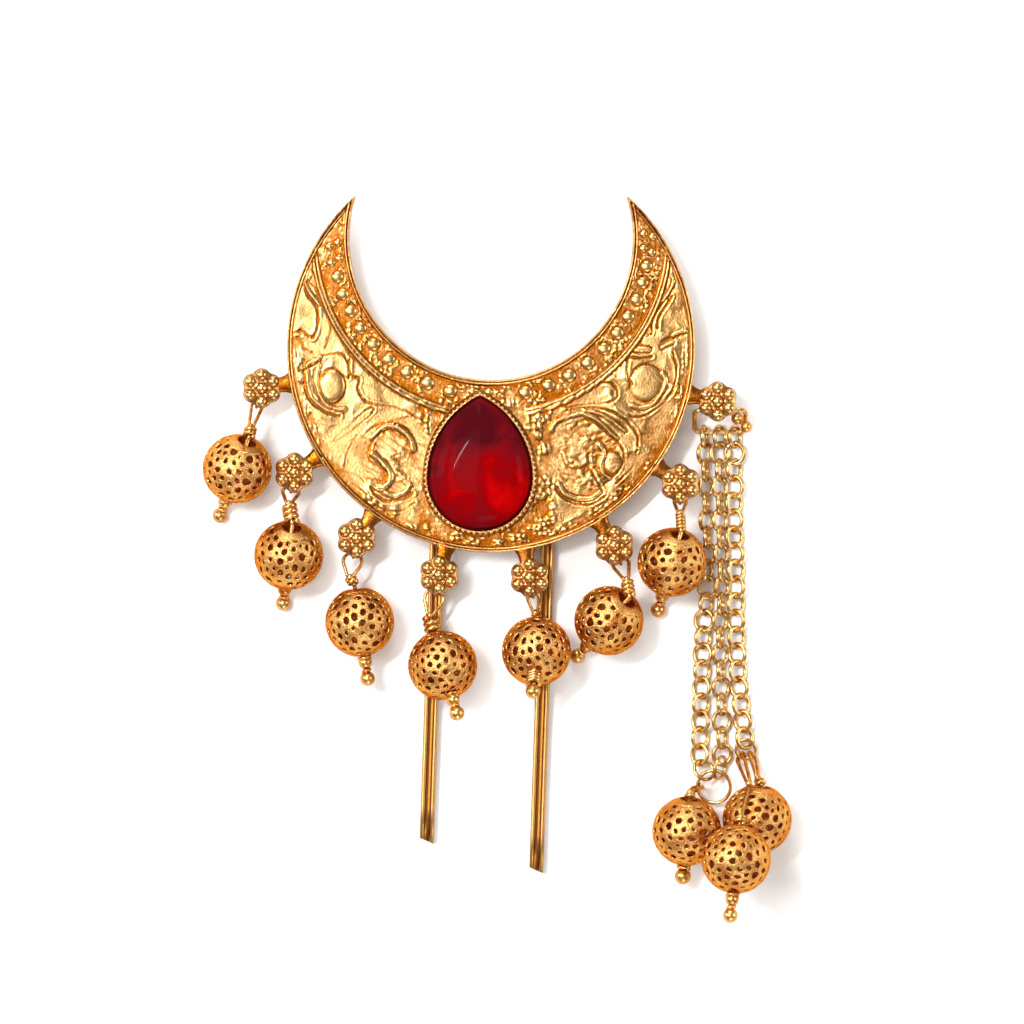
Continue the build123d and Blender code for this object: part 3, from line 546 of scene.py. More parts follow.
def pierced_tree():
    """A hollow ball's shell as a lattice: scattered points, their cells, and a hole cut in each cell."""
    tree, given, group_out = new_tree("pierced_shell", (
        ("Radius", "NodeSocketFloat", BALL * MM), ("Spacing", "NodeSocketFloat", 1.2 * MM),
        ("Hole Share", "NodeSocketFloat", 0.58), ("Seed", "NodeSocketInt", 4)))
    ball = add_node(tree, "GeometryNodeMeshIcoSphere", {"Radius": given["Radius"], "Subdivisions": 5})
    spots = add_node(tree, "GeometryNodeDistributePointsOnFaces", {
        "Mesh": ball.outputs["Mesh"], "Distance Min": given["Spacing"], "Density Max": 3.0e6,
        "Seed": given["Seed"]}, distribute_method="POISSON")
    hull = add_node(tree, "GeometryNodeConvexHull", {"Geometry": spots.outputs["Points"]})
    cells = add_node(tree, "GeometryNodeDualMesh", {"Mesh": hull.outputs[0]})
    inner = add_node(tree, "GeometryNodeExtrudeMesh", {
        "Mesh": cells.outputs[0], "Offset Scale": 0.0, "Individual": True})
    # Holes of mixed sizes, and smaller ones on the side that lies down
    mixed = add_node(tree, "FunctionNodeRandomValue", {2: 0.62, 3: 1.18, "Seed": given["Seed"]},
                     data_type="FLOAT")
    place = add_node(tree, "GeometryNodeInputPosition")
    upward = add_node(tree, "ShaderNodeSeparateXYZ", {0: place.outputs[0]}).outputs["Y"]
    under = spread(tree, upward, -0.6 * BALL * MM, -0.1 * BALL * MM, 0.35, 1.0)
    share = worked_out(tree, "MULTIPLY", given["Hole Share"], mixed.outputs[1])
    share = worked_out(tree, "MULTIPLY", share, under)
    shrunk = add_node(tree, "GeometryNodeScaleElements", {
        "Geometry": inner.outputs["Mesh"], "Selection": inner.outputs["Top"], "Scale": share})
    lattice = add_node(tree, "GeometryNodeDeleteGeometry", {
        "Geometry": shrunk.outputs[0], "Selection": inner.outputs["Top"]}, domain="FACE")
    fine = add_node(tree, "GeometryNodeSubdivisionSurface", {"Mesh": lattice.outputs[0], "Level": 1})
    outward = add_node(tree, "ShaderNodeVectorMath", {0: place.outputs[0]}, operation="NORMALIZE")
    on_ball = add_node(tree, "ShaderNodeVectorMath", {0: outward.outputs[0], "Scale": given["Radius"]},
                       operation="SCALE")
    rounded = add_node(tree, "GeometryNodeSetPosition", {
        "Geometry": fine.outputs[0], "Position": on_ball.outputs[0]})
    # The mouth and the foot stay open: faces near the axis go
    height = add_node(tree, "ShaderNodeSeparateXYZ", {0: outward.outputs[0]}).outputs["Z"]
    ends = worked_out(tree, "ADD", worked_out(tree, "GREATER_THAN", height, cos(radians(22))),
                      worked_out(tree, "LESS_THAN", height, -cos(radians(8))))
    opened = add_node(tree, "GeometryNodeDeleteGeometry", {
        "Geometry": rounded.outputs[0], "Selection": ends}, domain="FACE")
    close_tree(tree, given, group_out, opened.outputs[0])
    return tree


def grow(name, points, make_tree, tree_name, inputs, **attributes):
    """Runs a geometry tree on points in millimetres; attributes hold a number or a vector for each."""
    tree = bpy.data.node_groups.get(tree_name) or make_tree()
    seed = bpy.data.meshes.new(name + "_points")
    seed.from_pydata([Vector(p) * MM for p in points], [], [])
    for attribute, values in attributes.items():
        values = np.array(values, np.float32)
        kind, field = ("FLOAT", "value") if values.ndim == 1 else ("FLOAT_VECTOR", "vector")
        seed.attributes.new(attribute, kind, "POINT").data.foreach_set(field, values.ravel())
    holder = bpy.data.objects.new(name + "_holder", seed)
    bpy.context.scene.collection.objects.link(holder)
    modifier = holder.modifiers.new("made", "NODES")
    modifier.node_group = tree
    for item in tree.interface.items_tree:
        if item.in_out == "INPUT" and item.name in inputs:
            modifier[item.identifier] = inputs[item.name]
    mesh = bpy.data.meshes.new_from_object(holder.evaluated_get(bpy.context.evaluated_depsgraph_get()))
    holder.modifiers.remove(modifier)
    bpy.data.objects.remove(holder)
    mesh.name = name
    return bpy.data.objects.new(name, mesh)


def grains(name, spots, recess, height=1.0, subdivisions=3):
    """Finished piece of round cast grains at (x, y, z, radius) in millimetres."""
    obj = grow(name, [s[:3] for s in spots], grain_tree, "round_grains", {
        "Material": bpy.data.materials["cast_gilt_brass"], "Subdivisions": subdivisions, "Height": height},
        grain=[s[3] * MM for s in spots])
    give_share(obj, "recess", recess)
    finish_piece(obj)


# Cast relief of the plate

def lattice_noise(x, y, size, seed):
    """Smooth noise from -1 to 1 on a grid of a size in millimetres."""
    table = np.random.default_rng(seed).uniform(-1, 1, (64, 64))
    u, v = x / size, y / size
    i, j = np.floor(u).astype(int), np.floor(v).astype(int)
    a, b = u - i, v - j
    a, b = a * a * (3 - 2 * a), b * b * (3 - 2 * b)
    i0, i1, j0, j1 = i % 64, (i + 1) % 64, j % 64, (j + 1) % 64
    return ((table[i0, j0] * (1 - a) + table[i1, j0] * a) * (1 - b)
            + (table[i0, j1] * (1 - a) + table[i1, j1] * a) * b)


def pebbles(x, y, size, seed):
    """Little domes packed at a spacing in millimetres, 1 at their tops and 0 between."""
    jitter = np.random.default_rng(seed).uniform(-0.33, 0.33, (64, 64, 2))
    i, j = np.floor(x / size).astype(int), np.floor(y / size).astype(int)
    nearest = np.full(x.shape, 9.0)
    for di in (-1, 0, 1):
        for dj in (-1, 0, 1):
            shift = jitter[(i + di) % 64, (j + dj) % 64]
            away = np.hypot(x / size - (i + di + 0.5 + shift[..., 0]),
                            y / size - (j + dj + 0.5 + shift[..., 1]))
            nearest = np.minimum(nearest, away)
    return np.clip(1 - (nearest / 0.62) ** 2, 0, 1)


def half_round(distance, width):
    """Cross-section of a rounded ridge, 1 at its middle and 0 beyond half its width."""
    return np.sqrt(np.clip(1 - (2 * distance / width) ** 2, 0, 1))


def soft_bump(distance, reach):
    """Smooth bump, 1 at no distance and 0 beyond its reach."""
    return np.clip(1 - (distance / reach) ** 2, 0, 1) ** 2


def fade(value, width):
    """0 below nothing, 1 beyond a width, even between."""
    return np.clip(value / width, 0, 1)


def line_points(points, steps=8):
    """Points of a smooth line through a few given ones."""
    padded = np.array([points[0], *points, points[-1]], float)
    made = []
    for k in range(1, len(padded) - 2):
        p0, p1, p2, p3 = padded[k - 1:k + 3]
        for t in np.linspace(0, 1, steps, endpoint=False):
            made.append(0.5 * (2 * p1 + (p2 - p0) * t + (2 * p0 - 5 * p1 + 4 * p2 - p3) * t ** 2
                               + (3 * p1 - p0 - 3 * p2 + p3) * t ** 3))
    made.append(padded[-1])
    return np.array(made)


def nearest_distance(x, y, line, reach=1.2):
    """Distance from each place to the nearest of a line's points, where it is within reach."""
    low, high = line.min(0) - reach, line.max(0) + reach
    near = (x > low[0]) & (x < high[0]) & (y > low[1]) & (y < high[1])
    near_x, near_y = x[near], y[near]
    found = np.full(near_x.shape, 9.0)
    for px, py in line:
        np.minimum(found, np.hypot(near_x - px, near_y - py), out=found)
    best = np.full(x.shape, 9.0)
    best[near] = found
    return best


def oval(x, y, length, width, turn):
    """Distance from an oval's middle in shares of its half sizes."""
    c, s = cos(radians(turn)), sin(radians(turn))
    return np.hypot((x * c + y * s) / length, (y * c - x * s) / width)


def granule_spots():
    """Places and radii of the band's granules; towards the tips small ones sit in pairs."""
    spots = []
    for hand, first, count in GRANULE_ROWS:
        for k in range(count):
            turn = radians(first + 8.9 * k - 0.16 * k * k)
            if k < count - 2:
                spots.append((hand * GRANULE_RING * sin(turn), OFFSET - GRANULE_RING * cos(turn),
                              0.95 - 0.015 * k))
                continue
            for out, later in ((21.55, 0.008), (22.75, -0.012)):
                spots.append((hand * out * sin(turn + later), OFFSET - out * cos(turn + later), 0.52))
    return spots


def cast_ground(x, y, rim, inward):
    """Height of the field and its tints, mostly painted shade, before anything is drawn on it, and how dense
    its grains are.
    """
    # The cast field rolls a little, which breaks up its reflections
    warp_x = x + 1.2 * lattice_noise(x, y, 3.1, 11)
    warp_y = y + 1.2 * lattice_noise(x, y, 3.1, 12)
    height = 0.10 * lattice_noise(warp_x, warp_y, 3.4, 1) + 0.05 * lattice_noise(warp_x, warp_y, 1.5, 2)

    # Granulated ground: in the band, round the stone and along the lower rim
    in_band = fade(4.6 - inward, 0.3)
    in_scroll = fade(5.4 - np.hypot(np.abs(x) - 13.5, y + 15.0), 0.6)
    by_stone = fade(10.2 - np.abs(x + 0.7), 1.2) * fade(-y - 6.0, 1.0) * (1 - in_scroll)
    by_rim = fade(2.2 - rim, 0.4) * fade(2 - y, 6)
    ground = np.maximum(np.maximum(in_band, 0.8 * by_stone), 0.5 * by_rim)
    sparse = np.clip(0.5 + 1.5 * lattice_noise(x, y, 1.1, 41), 0, 1)
    dots = pebbles(x, y, 0.72, 3) * sparse
    crumbs = pebbles(x + 5, y, 0.42, 4)
    height += ground * (-0.2 + 0.28 * dots + 0.1 * crumbs)
    # Darker between the grains and paler on their tops: painted shade
    tint_and_shade = ground * (0.9 - 0.75 * np.clip(1.5 * dots, 0, 1) - 0.15 * crumbs)

    # Chased strokes inside the scrolls, their low parts painted darker as shade
    strokes = lattice_noise(0.45 * x + 0.4 * warp_y, y - 0.5 * np.abs(x), 0.3, 5)
    height += in_scroll * (0.06 * strokes - 0.04)
    tint_and_shade += in_scroll * np.clip(-1.1 * strokes, 0, 0.6)
    height += 0.06 * (1 - in_band) * (1 - np.abs(lattice_noise(warp_x, warp_y, 2.3, 7))) ** 4
    # Mottled darker patches along the lower rim, and painted shade towards the right side
    low_rim = fade(5.6 - rim, 2.6) * fade(-6 - y, 8)
    patches = (0.7 + 0.6 * lattice_noise(x, y, 2.4, 9)) * (1 + 0.5 * lattice_noise(x, y, 0.4, 10))
    tint_and_shade += (1 - in_band) * patches * (0.3 * low_rim + 0.26 * fade(x - 8, 4))
    return height, tint_and_shade, sparse


def plate_relief(x, y):
    """Height above the plate's field in millimetres, and the tints at each place, mostly painted shade in
    its cuts, hollows and between grains.
    """
    rim = OUTER - np.hypot(x, y)
    inward = np.hypot(x, y - OFFSET) - INNER
    height, tint_and_shade, sparse = cast_ground(x, y, rim, inward)

    # Domes with a cut outline painted dark as shade, and hollows painted darker inside as shade
    for bx, by, length, width, turn, tall in BOSSES:
        out = oval(x - bx, y - by, length, width, turn)
        dome = np.clip(1 - out ** 4, 0, 1) ** 0.6
        height = np.where(out < 1, np.maximum(height * 0.4, 0) + tall * dome, height)
        edge = soft_bump((out - 1.06) * min(length, width), 0.26)
        height -= 0.16 * edge * (out > 1)
        tint_and_shade = np.maximum(tint_and_shade, 0.7 * edge)
    for bx, by, length, width, turn, deep in HOLLOWS:
        out = oval(x - bx, y - by, length, width, turn)
        height = np.where(out < 1, height * (0.4 + 0.6 * out ** 2) - deep * (1 - out ** 4), height)
        tint_and_shade = np.where(out < 1, np.maximum(tint_and_shade, 0.6 * (1 - out ** 4)), tint_and_shade)

    # Raised lines with a sunk edge on both sides, swelling and thinning a little, their tops painted paler
    # as highlight, then the cut lines painted dark as shade
    swell = 1 + 0.2 * lattice_noise(x, y, 1.7, 8)
    shake_x, shake_y = 0.07 * lattice_noise(x, y, 0.8, 31), 0.07 * lattice_noise(x, y, 0.8, 32)
    for width, tall, points in sorted(LINES, key=lambda line: -line[1]):
        away = nearest_distance(x + shake_x, y + shake_y, line_points(points)) / swell
        if tall < 0:
            height += tall * soft_bump(away, 0.62 * width)
            height += 0.05 * soft_bump(away - 0.8 * width, 0.28)
            tint_and_shade = np.maximum(tint_and_shade, 1.1 * soft_bump(away, 0.7 * width))
            continue
        ridge = 0.6 * tall * half_round(away, width)
        height = np.where(away < width / 2, np.maximum(height * 0.5, ridge), height)
        tint_and_shade = np.where(away < 0.4 * width, 0.3 * tint_and_shade, tint_and_shade)
        height -= 0.16 * soft_bump(away - width / 2 - 0.1, 0.18) * (away > width / 2)

    # Sockets of the band's granules, with painted shade in a ring round each
    for gx, gy, radius in granule_spots():
        away = np.hypot(x - gx, y - gy)
        collar = 0.1 * soft_bump(away - radius - 0.45, 0.3) * (0.3 + 0.7 * sparse)
        height += collar * (inward > 0.7) * (inward < 4.4)
        height -= 0.25 * soft_bump(away - radius - 0.02, 0.26)
        tint_and_shade = np.maximum(tint_and_shade, soft_bump(away - radius - 0.05, 0.3))

    # Double ridge that bounds the band, fading out by the stone, and two fine beads along both edges
    beside = fade(np.abs(x) - 4.8, 1.5)
    for groove in (4.42, 5.62):
        height -= 0.2 * soft_bump(inward - groove, 0.2) * beside
    height = np.maximum(height, beside * 0.42 * half_round(inward - 4.75, 0.42))
    height = np.maximum(height, beside * 0.34 * half_round(inward - 5.25, 0.4))
    for edge in (rim, inward):
        height -= 0.24 * soft_bump(edge - 0.84, 0.22)
        height -= 0.12 * soft_bump(edge - 0.38, 0.12)
        height = np.maximum(height, 0.5 * half_round(edge - 0.17, 0.36))
        height = np.maximum(height, 0.42 * half_round(edge - 0.57, 0.34))
    return np.clip(height, -0.45, 0.5), tint_and_shade


def blurred(grid, reach):
    """Box blur of a grid along both of its directions."""
    for axis in (0, 1):
        padded = np.concatenate([np.repeat(np.take(grid, [0], axis), reach, axis), grid,
                                 np.repeat(np.take(grid, [-1], axis), reach, axis)], axis)
        total = np.cumsum(padded, axis)
        size = grid.shape[axis]
        high = np.take(total, range(2 * reach, 2 * reach + size), axis)
        low = np.concatenate([np.zeros_like(np.take(total, [0], axis)),
                              np.take(total, range(0, size - 1), axis)], axis)
        grid = (high - low) / (2 * reach + 1)
    return grid


def make_plate(across, along):
    """The crescent's cast plate as one closed mesh, its relief in its upper face."""
    tip_cut = (OUTER ** 2 - INNER ** 2 + OFFSET ** 2) / (2 * OFFSET) - TIP_BLUNT
    swing_end = acos((OFFSET - tip_cut) / sqrt((OUTER ** 2 - tip_cut ** 2) + (tip_cut - OFFSET) ** 2))
    swings = np.linspace(-swing_end, swing_end, along + 1)[:, None]
    s = np.linspace(0, 1, across + 1)[None, :]
    shares = s - 0.45 * np.sin(2 * pi * s) / (2 * pi)
    ux, uy = np.sin(swings), -np.cos(swings)
    reach = -OFFSET * uy + np.sqrt(OUTER ** 2 - OFFSET ** 2 * (1 - uy ** 2))
    radius = INNER + shares * (reach - INNER)
    x, y = ux * radius, OFFSET + uy * radius
    height, tint_and_shade = plate_relief(x, y)
    # Painted shade: darker where a place lies lower than its near and farther neighbours and where it is
    # sunk, added to the drawn tints
    fine, broad = blurred(height, 2) - height, blurred(height, 6) - height
    recess = np.clip(9.0 * fine + 3.5 * broad + 0.6 * np.clip(-height - 0.08, 0, 0.3) + tint_and_shade - 0.02, 0, 1)
    height[:, [0, -1]] = 0.1
    rings = [np.stack([x, y, FIELD + height], -1)]
    # Each ring across goes on down the outer wall, along the back and up the inner wall
    for column, shrink, z in ((-1, 1, BACK + 0.3), (-1, 0.996, BACK), (0, 0.996, BACK), (0, 1, BACK + 0.3)):
        wall = [x[:, column] * shrink, y[:, column] * shrink, np.full(along + 1, z)]
        rings.append(np.stack(wall, -1)[:, None])
    recess = np.concatenate([recess, np.full((along + 1, 4), 0.35)], 1)
    closed_piece("crescent_plate", [skin(np.concatenate(rings, 1).tolist())], "cast_gilt_brass",
                 ["crescent"], recess=recess.ravel().tolist())


# Places of the drops

def tab_places():
    """Angle and middle of each flower tab."""
    angles = [TAB_MIDDLE + TAB_PITCH * (k - 3.5) for k in range(8)]
    return [(angle, heading(angle) * TAB_RING) for angle in angles]


def chain_points(name):
    """Middles of a chain's links."""
    count, across, lifts = CHAINS[name]
    start = tab_places()[-1][1] + Vector((0, -BAR_DROP - BAR_SEAT, LINK_HEIGHT))
    shares = [k / (count - 1) for k in range(count)]
    return [start + Vector((float(np.interp(share, ROUTE_SHARES, across)), -LINK_PITCH * k,
                            float(np.interp(share, ROUTE_SHARES, lifts)))) for k, share in enumerate(shares)]


def end_rings():
    """Centre, normal and radius of each end ring."""
    carriers = {"chain_" + name: chain_points(name)[-1] for name in CHAINS}
    rings = {}
    for name, (carrier, x, y, z, radius, side_tilt, front_tilt) in END_RINGS.items():
        centre = level(carriers[carrier]) + Vector((x, y, z))
        side, front = radians(side_tilt), radians(front_tilt)
        carriers["end_ring_" + name] = centre
        rings[name] = centre, Vector((sin(side), -cos(side) * sin(front), cos(side) * cos(front))), radius
    return rings


def drop_pins():
    """Every ball with a pin.

    Each has its name, the ball's centre and axis, the coil's start and length, the
    neck, the hook, the loop's side and end radius, and the tail's length.
    """
    made = []
    for k, (row, (_, tab)) in enumerate(zip(DROPS, tab_places()), 1):
        mouth_x, mouth_y, azimuth, rise, neck_x, neck_y, dip, loop_end, on_fork = row
        axis = heading(azimuth, rise)
        height = max(BALL + on_fork * ON_FORK, END_BEAD + (BALL + TAIL) * sin(radians(rise)))
        centre = tab + Vector((mouth_x, mouth_y, height)) - level(axis) * BALL
        start = centre + axis * (BALL + COIL_STAND)
        reach = Vector((neck_x - mouth_x, neck_y - mouth_y, 0))
        neck = centre + axis * BALL + reach - up(reach.length * sin(radians(dip)))
        toward = (level(neck) - tab).normalized()
        hook = tab + toward * 2.1 + up(LOOP_HEIGHT)
        side = toward.cross(up(1))
        made.append((f"{k}", centre, axis, start, (neck - start).length, neck, hook, side, loop_end, TAIL))
    rings = end_rings()
    middle = level(rings["shared"][0]) + Vector((CLUSTER_SHIFT, -CLUSTER_DROP - BALL, 0))
    for name, (x, y, z, azimuth, rise, tail, ring, neck, turn) in CLUSTER.items():
        ring_centre, normal, ring_radius = rings[ring]
        outward = heading(turn)
        outward = (outward - normal * outward.dot(normal)).normalized()
        wire_point = ring_centre + outward * ring_radius
        neck = level(ring_centre) + Vector(neck) + up(BALL)
        pull = (neck - wire_point).normalized()
        hook = wire_point - pull * (END_WIRE + LOOP_WIRE + 0.1)
        side = normal.cross(outward).cross(pull)
        centre, axis = middle + Vector((x, y, z)) * BALL, heading(azimuth, rise)
        mouth = centre + axis * BALL
        coil = min(1.6, (neck - mouth).length - 0.1)
        made.append((name, centre, axis, mouth, coil, neck, hook, side, 0.75, tail))
    return made


def loop_path(neck, hook, side, end, steps=26):
    """Path of a teardrop loop from the neck round its end and back."""
    way = (hook - neck).normalized()
    across = (side - way * side.dot(way)).normalized()
    depth = (hook - neck).length - end
    reach = hypot(NECK_SPREAD, depth)
    turn = atan2(depth, -NECK_SPREAD) - asin(end / reach)
    run = sqrt(reach ** 2 - end ** 2)
    tx, ty = NECK_SPREAD + run * cos(turn), run * sin(turn)
    flat = [(NECK_SPREAD + (tx - NECK_SPREAD) * k / 6, ty * k / 6) for k in range(7)]
    start = atan2(ty - depth, tx)
    for k in range(1, steps):
        a = start + (pi - 2 * start) * k / steps
        flat.append((end * cos(a), depth + end * sin(a)))
    flat += [(-px, py) for px, py in reversed(flat[:7])]
    return [neck + across * px + way * py for px, py in flat]


# Sizes that the sidebar shows

class PlateSizes(bpy.types.PropertyGroup):
    """Fineness of the plate's cast relief"""
    across: IntProperty(name="Across", description="Faces from the inner to the outer edge",
                        default=132, min=40)
    along: IntProperty(name="Along", description="Faces from tip to tip", default=700, min=100)


class BallSizes(bpy.types.PropertyGroup):
    """Sizes of the pierced balls' shells"""
    spacing: FloatProperty(name="Spacing", description="Least distance between two holes' middles",
                           default=1.05 * MM, unit="LENGTH", precision=5)
    hole_share: FloatProperty(name="Hole Share", description="A hole's size as a share of its cell",
                              default=0.66, subtype="FACTOR", min=0.1, max=0.9)
    wall: FloatProperty(name="Wall", description="Thickness of the pierced sheet", default=0.4 * MM,
                        unit="LENGTH", precision=5)


class StageLook(bpy.types.PropertyGroup):
    """Camera height, width seen and floor"""
    camera_height: FloatProperty(name="Camera Height", description="Camera above the plate", default=2.0,
                                 unit="LENGTH")
    width_seen: FloatProperty(name="Width Seen", description="Width that the picture shows at the plate",
                              default=PICTURE / PIXELS_A_MM * MM, unit="LENGTH")
    floor_colour: FloatVectorProperty(name="Floor", description="Colour of the floor", subtype="COLOR",
                                      default=(0.9, 0.9, 0.9), min=0, max=1)


# Operators

class BROOCH_OT_plate(bpy.types.Operator):
    """Casts the crescent plate with its scrolls, ridge and lips"""
    bl_idname = "brooch.plate"
    bl_label = "Crescent Plate"

    def execute(self, context):
        sizes = context.scene.brooch_plate
        make_plate(sizes.across, sizes.along)
        return {"FINISHED"}


class BROOCH_OT_granules(bpy.types.Operator):
    """Sets the round granules along the band and beside the stone"""
    bl_idname = "brooch.granules"
    bl_label = "Band Granules"

    def execute(self, context):
        spots = [(x, y, FIELD + 0.12, r) for x, y, r in granule_spots()]
        spots += [(x, y, FIELD + 0.2, r) for x, y, r in DROPLETS]
        grains("band_granules", spots, 0.0, 0.42)
        return {"FINISHED"}


class BROOCH_OT_setting(bpy.types.Operator):
    """Raises the bezel with its beaded edge and seats the stone in it"""
    bl_idname = "brooch.setting"
    bl_label = "Stone and Bezel"

    def execute(self, context):
        self.bezel()
        self.milgrain()
        self.stone()
        return {"FINISHED"}

    def bezel(self):
        """Rounded lip over the stone's edge, and a ledge outside it."""
        # Place out from the stone's edge, height and share of painted shade, darkest under the lip
        section = ((0.63, -0.3, 0.5), (0.64, 0.7, 0.4), (0.56, 0.86, 0.7), (0.3, 0.95, 1.0),
                   (0.26, 1.1, 0.7), (0.2, 1.22, 0.1), (0.1, 1.3, 0.0), (0.0, 1.33, 0.0),
                   (-0.1, 1.28, 0.1), (-0.18, 1.18, 0.4), (-0.2, 1.08, 0.7), (0.02, 1.0, 0.5),
                   (0.02, -0.3, 0.5))
        rings = [[(x, y, FIELD + z) for x, y in pear(out)] for out, z, _ in section]
        recess = [deep for _, _, deep in section for _ in rings[0]]
        closed_piece("stone_bezel", [skin(rings, closed=True, caps=False)], "cast_gilt_brass",
                     recess=recess)

    def milgrain(self):
        """Rope beads along the lip; they are rubbed down towards the stone's point."""
        spots, last = [], None
        for x, y in pear(0.14, 1.0, 60):
            p = Vector((x, y, 0))
            if last is None or (p - last).length >= 0.72:
                worn = min(1.0, max(0.0, (p.y - STONE_Y - 2.0) / 5.0))
                spots.append((p.x, p.y, FIELD + 1.2 - 0.1 * worn, 0.38 - 0.1 * worn))
                last = p
        grains("bezel_milgrain", spots, 0.0, subdivisions=2)

    def stone(self):
        """Flat back, upright girdle and dome, with a painted light that the foiled back would send up at
        each point.
        """
        low = FIELD + 0.1
        # Growth of the outline, share of its size, and height
        levels = [(0.0, 0.3, low), (-0.1, 1.0, low), (-0.1, 1.0, low + 0.88), (-0.4, 1.0, low + 0.92)]
        for k in range(1, 17):
            a = pi / 2 * k / 16
            levels.append((-0.4, max(cos(a) ** 0.85, 0.015), low + 0.92 + 2.98 * sin(a) ** 0.92))
        rings, glow = [], []
        for grow_by, share, z in levels:
            rings.append([(x, y, z) for x, y in pear(grow_by, share)])
            # Painted shade at the rim: the light painted on the rings at the girdle is weaker, and there is
            # none on the back and the girdle's lower part
            clear = min(1.0, 0.45 + (1 - share ** 2) * 12) if z > low + 0.8 else 0.0
            glow += [clear * self.painted_glow_at(x - STONE_X, y - STONE_Y) for x, y, _ in rings[-1]]
        closed_piece("red_cabochon", [skin(rings)], "ruby_pressed_glass", ["red_stone"], "red_glass",
                     glow=glow)

    def painted_glow_at(self, x, y):
        """Painted light that the foiled back would send up at a place measured from the stone's centre:
        darker at the top and the left edge, with a painted bright spot low on the right.
        """
        lit = min(1.0, max(0.0, (5.4 - y) / 3.2))
        spot = exp(-((x - 4.2) ** 2 + (y + 3.0) ** 2) / 9.0)
        left = min(1.0, max(0.0, (x + 7.2) / 4.0))
        return 0.08 + 0.45 * lit * (0.45 + 0.55 * left) + 0.26 * spot


class BROOCH_OT_flowers(bpy.types.Operator):
    """Makes the flower tabs, their stems and the eyelets behind them"""
    bl_idname = "brooch.flowers"
    bl_label = "Flower Tabs"

    def execute(self, context):
        parts, spots, recess = [], [], []
        for angle, place in tab_places():
            parts += [self.base(place), self.stem(angle)]
            # The stems are painted darker than the bases, as shade
            recess += [0.5] * len(parts[-2][0]) + [0.9] * len(parts[-1][0])
            for j in range(6):
                petal = place + heading(90 + 60 * j) * 1.9
                spots.append((petal.x, petal.y, TAB_TOP - 0.05, 0.86))
            spots.append((place.x, place.y, TAB_TOP, 0.8))
            for j in range(6):
                seed = place + heading(120 + 60 * j) * 1.12
                spots.append((seed.x, seed.y, TAB_TOP + 0.1, 0.33))
        closed_piece("flower_tabs", parts, "cast_gilt_brass", recess=recess)
        grains("flower_grains", spots, 0.12, 0.9)
        closed_piece("flower_eyelets", self.eyelets(), "cast_gilt_brass", recess=0.5)
        closed_piece("fork_sleeves", [self.sleeve(hand) for hand in (1, -1)], "cast_gilt_brass",
                     smooth=False, recess=0.5)
        return {"FINISHED"}

    def base(self, place):
        """Six-lobed base plate with a rounded edge."""
        rings = []
        turns = [2 * pi * j / 72 for j in range(72)]
        for out, z in ((0.0, TAB_BACK), (0.12, TAB_BACK + 0.12), (0.12, TAB_TOP - 0.15), (0.0, TAB_TOP)):
            lobes = [2.35 + 0.38 * abs(cos(3 * (turn - pi / 2))) ** 1.3 + out for turn in turns]
            rings.append([(place.x + lobe * cos(turn), place.y + lobe * sin(turn), z)
                          for lobe, turn in zip(lobes, turns)])
        return skin(rings)

    def stem(self, angle):
        """Stem from the rim to the flower, flared at the rim and round-backed."""
        along, across = heading(angle), heading(angle + 90)
        section = ((-1.0, 0.0), (-0.95, 0.62), (-0.6, 0.92), (0.0, 1.0), (0.6, 0.92), (0.95, 0.62),
                   (1.0, 0.0))
        runs = ((28.2, 1.6), (28.9, 1.45), (29.4, 1.2), (30.0, 1.08), (30.6, 1.05), (31.6, 1.05))
        return skin([[along * reach + across * (side * half) + up(TAB_BACK + 0.62 * tall)
                      for side, tall in section] for reach, half in runs])

    def eyelets(self):
        """Bent wire under each flower."""
        hooks = [(pin[6], (level(pin[6]) - tab).normalized())
                 for pin, (_, tab) in zip(drop_pins(), tab_places())]
        down = Vector((0, -1, 0))
        hooks.append((tab_places()[-1][1] + down * 1.2, down))
        bend = EYELET_LOW + EYELET_HALF
        parts = []
        for hook, toward in hooks:
            foot, out = level(hook), toward * EYELET_HALF
            path = [foot - out + up(z) for z in (TAB_BACK + 0.3, 4.6, bend)]
            path += [foot - out * cos(a) + up(bend - EYELET_HALF * sin(a))
                     for a in (pi * k / 12 for k in range(1, 12))]
            path += [foot + out + up(z) for z in (bend, 4.6, TAB_BACK + 0.3)]
            parts.append(tube(path, EYELET_WIRE, 10))
        return parts

    def sleeve(self, hand):
        """Sleeve behind the plate, open for one of the fork's prongs."""
        x = FORK_X + hand * FORK_HALF - (SLEEVE_Y - FORK_Y) * sin(radians(FORK_LEAN))
        middle, across, along = Vector((x, SLEEVE_Y, 0)), heading(FORK_LEAN), heading(FORK_LEAN + 90)
        outer = ((-1.9, 0.25), (-1.65, 0.0), (1.65, 0.0), (1.9, 0.25), (1.9, BACK + 0.4),
                 (-1.9, BACK + 0.4))
        hole = ((-1.1, 0.6), (1.1, 0.6), (1.1, 2.0), (-1.1, 2.0))
        points = [middle + along * end + across * side + up(z)
                  for end in (-SLEEVE_HALF_LENGTH, SLEEVE_HALF_LENGTH) for side, z in outer + hole]
        faces = [(k, (k + 1) % 6, 10 + (k + 1) % 6, 10 + k) for k in range(6)]
        faces += [(6 + k, 16 + k, 16 + (k + 1) % 4, 6 + (k + 1) % 4) for k in range(4)]
        for o in (0, 10):
            faces += [(o, o + 1, o + 6), (o + 1, o + 2, o + 7, o + 6), (o + 2, o + 3, o + 7),
                      (o + 3, o + 4, o + 8, o + 7), (o + 4, o + 5, o + 9, o + 8), (o + 5, o, o + 6, o + 9)]
        return points, faces


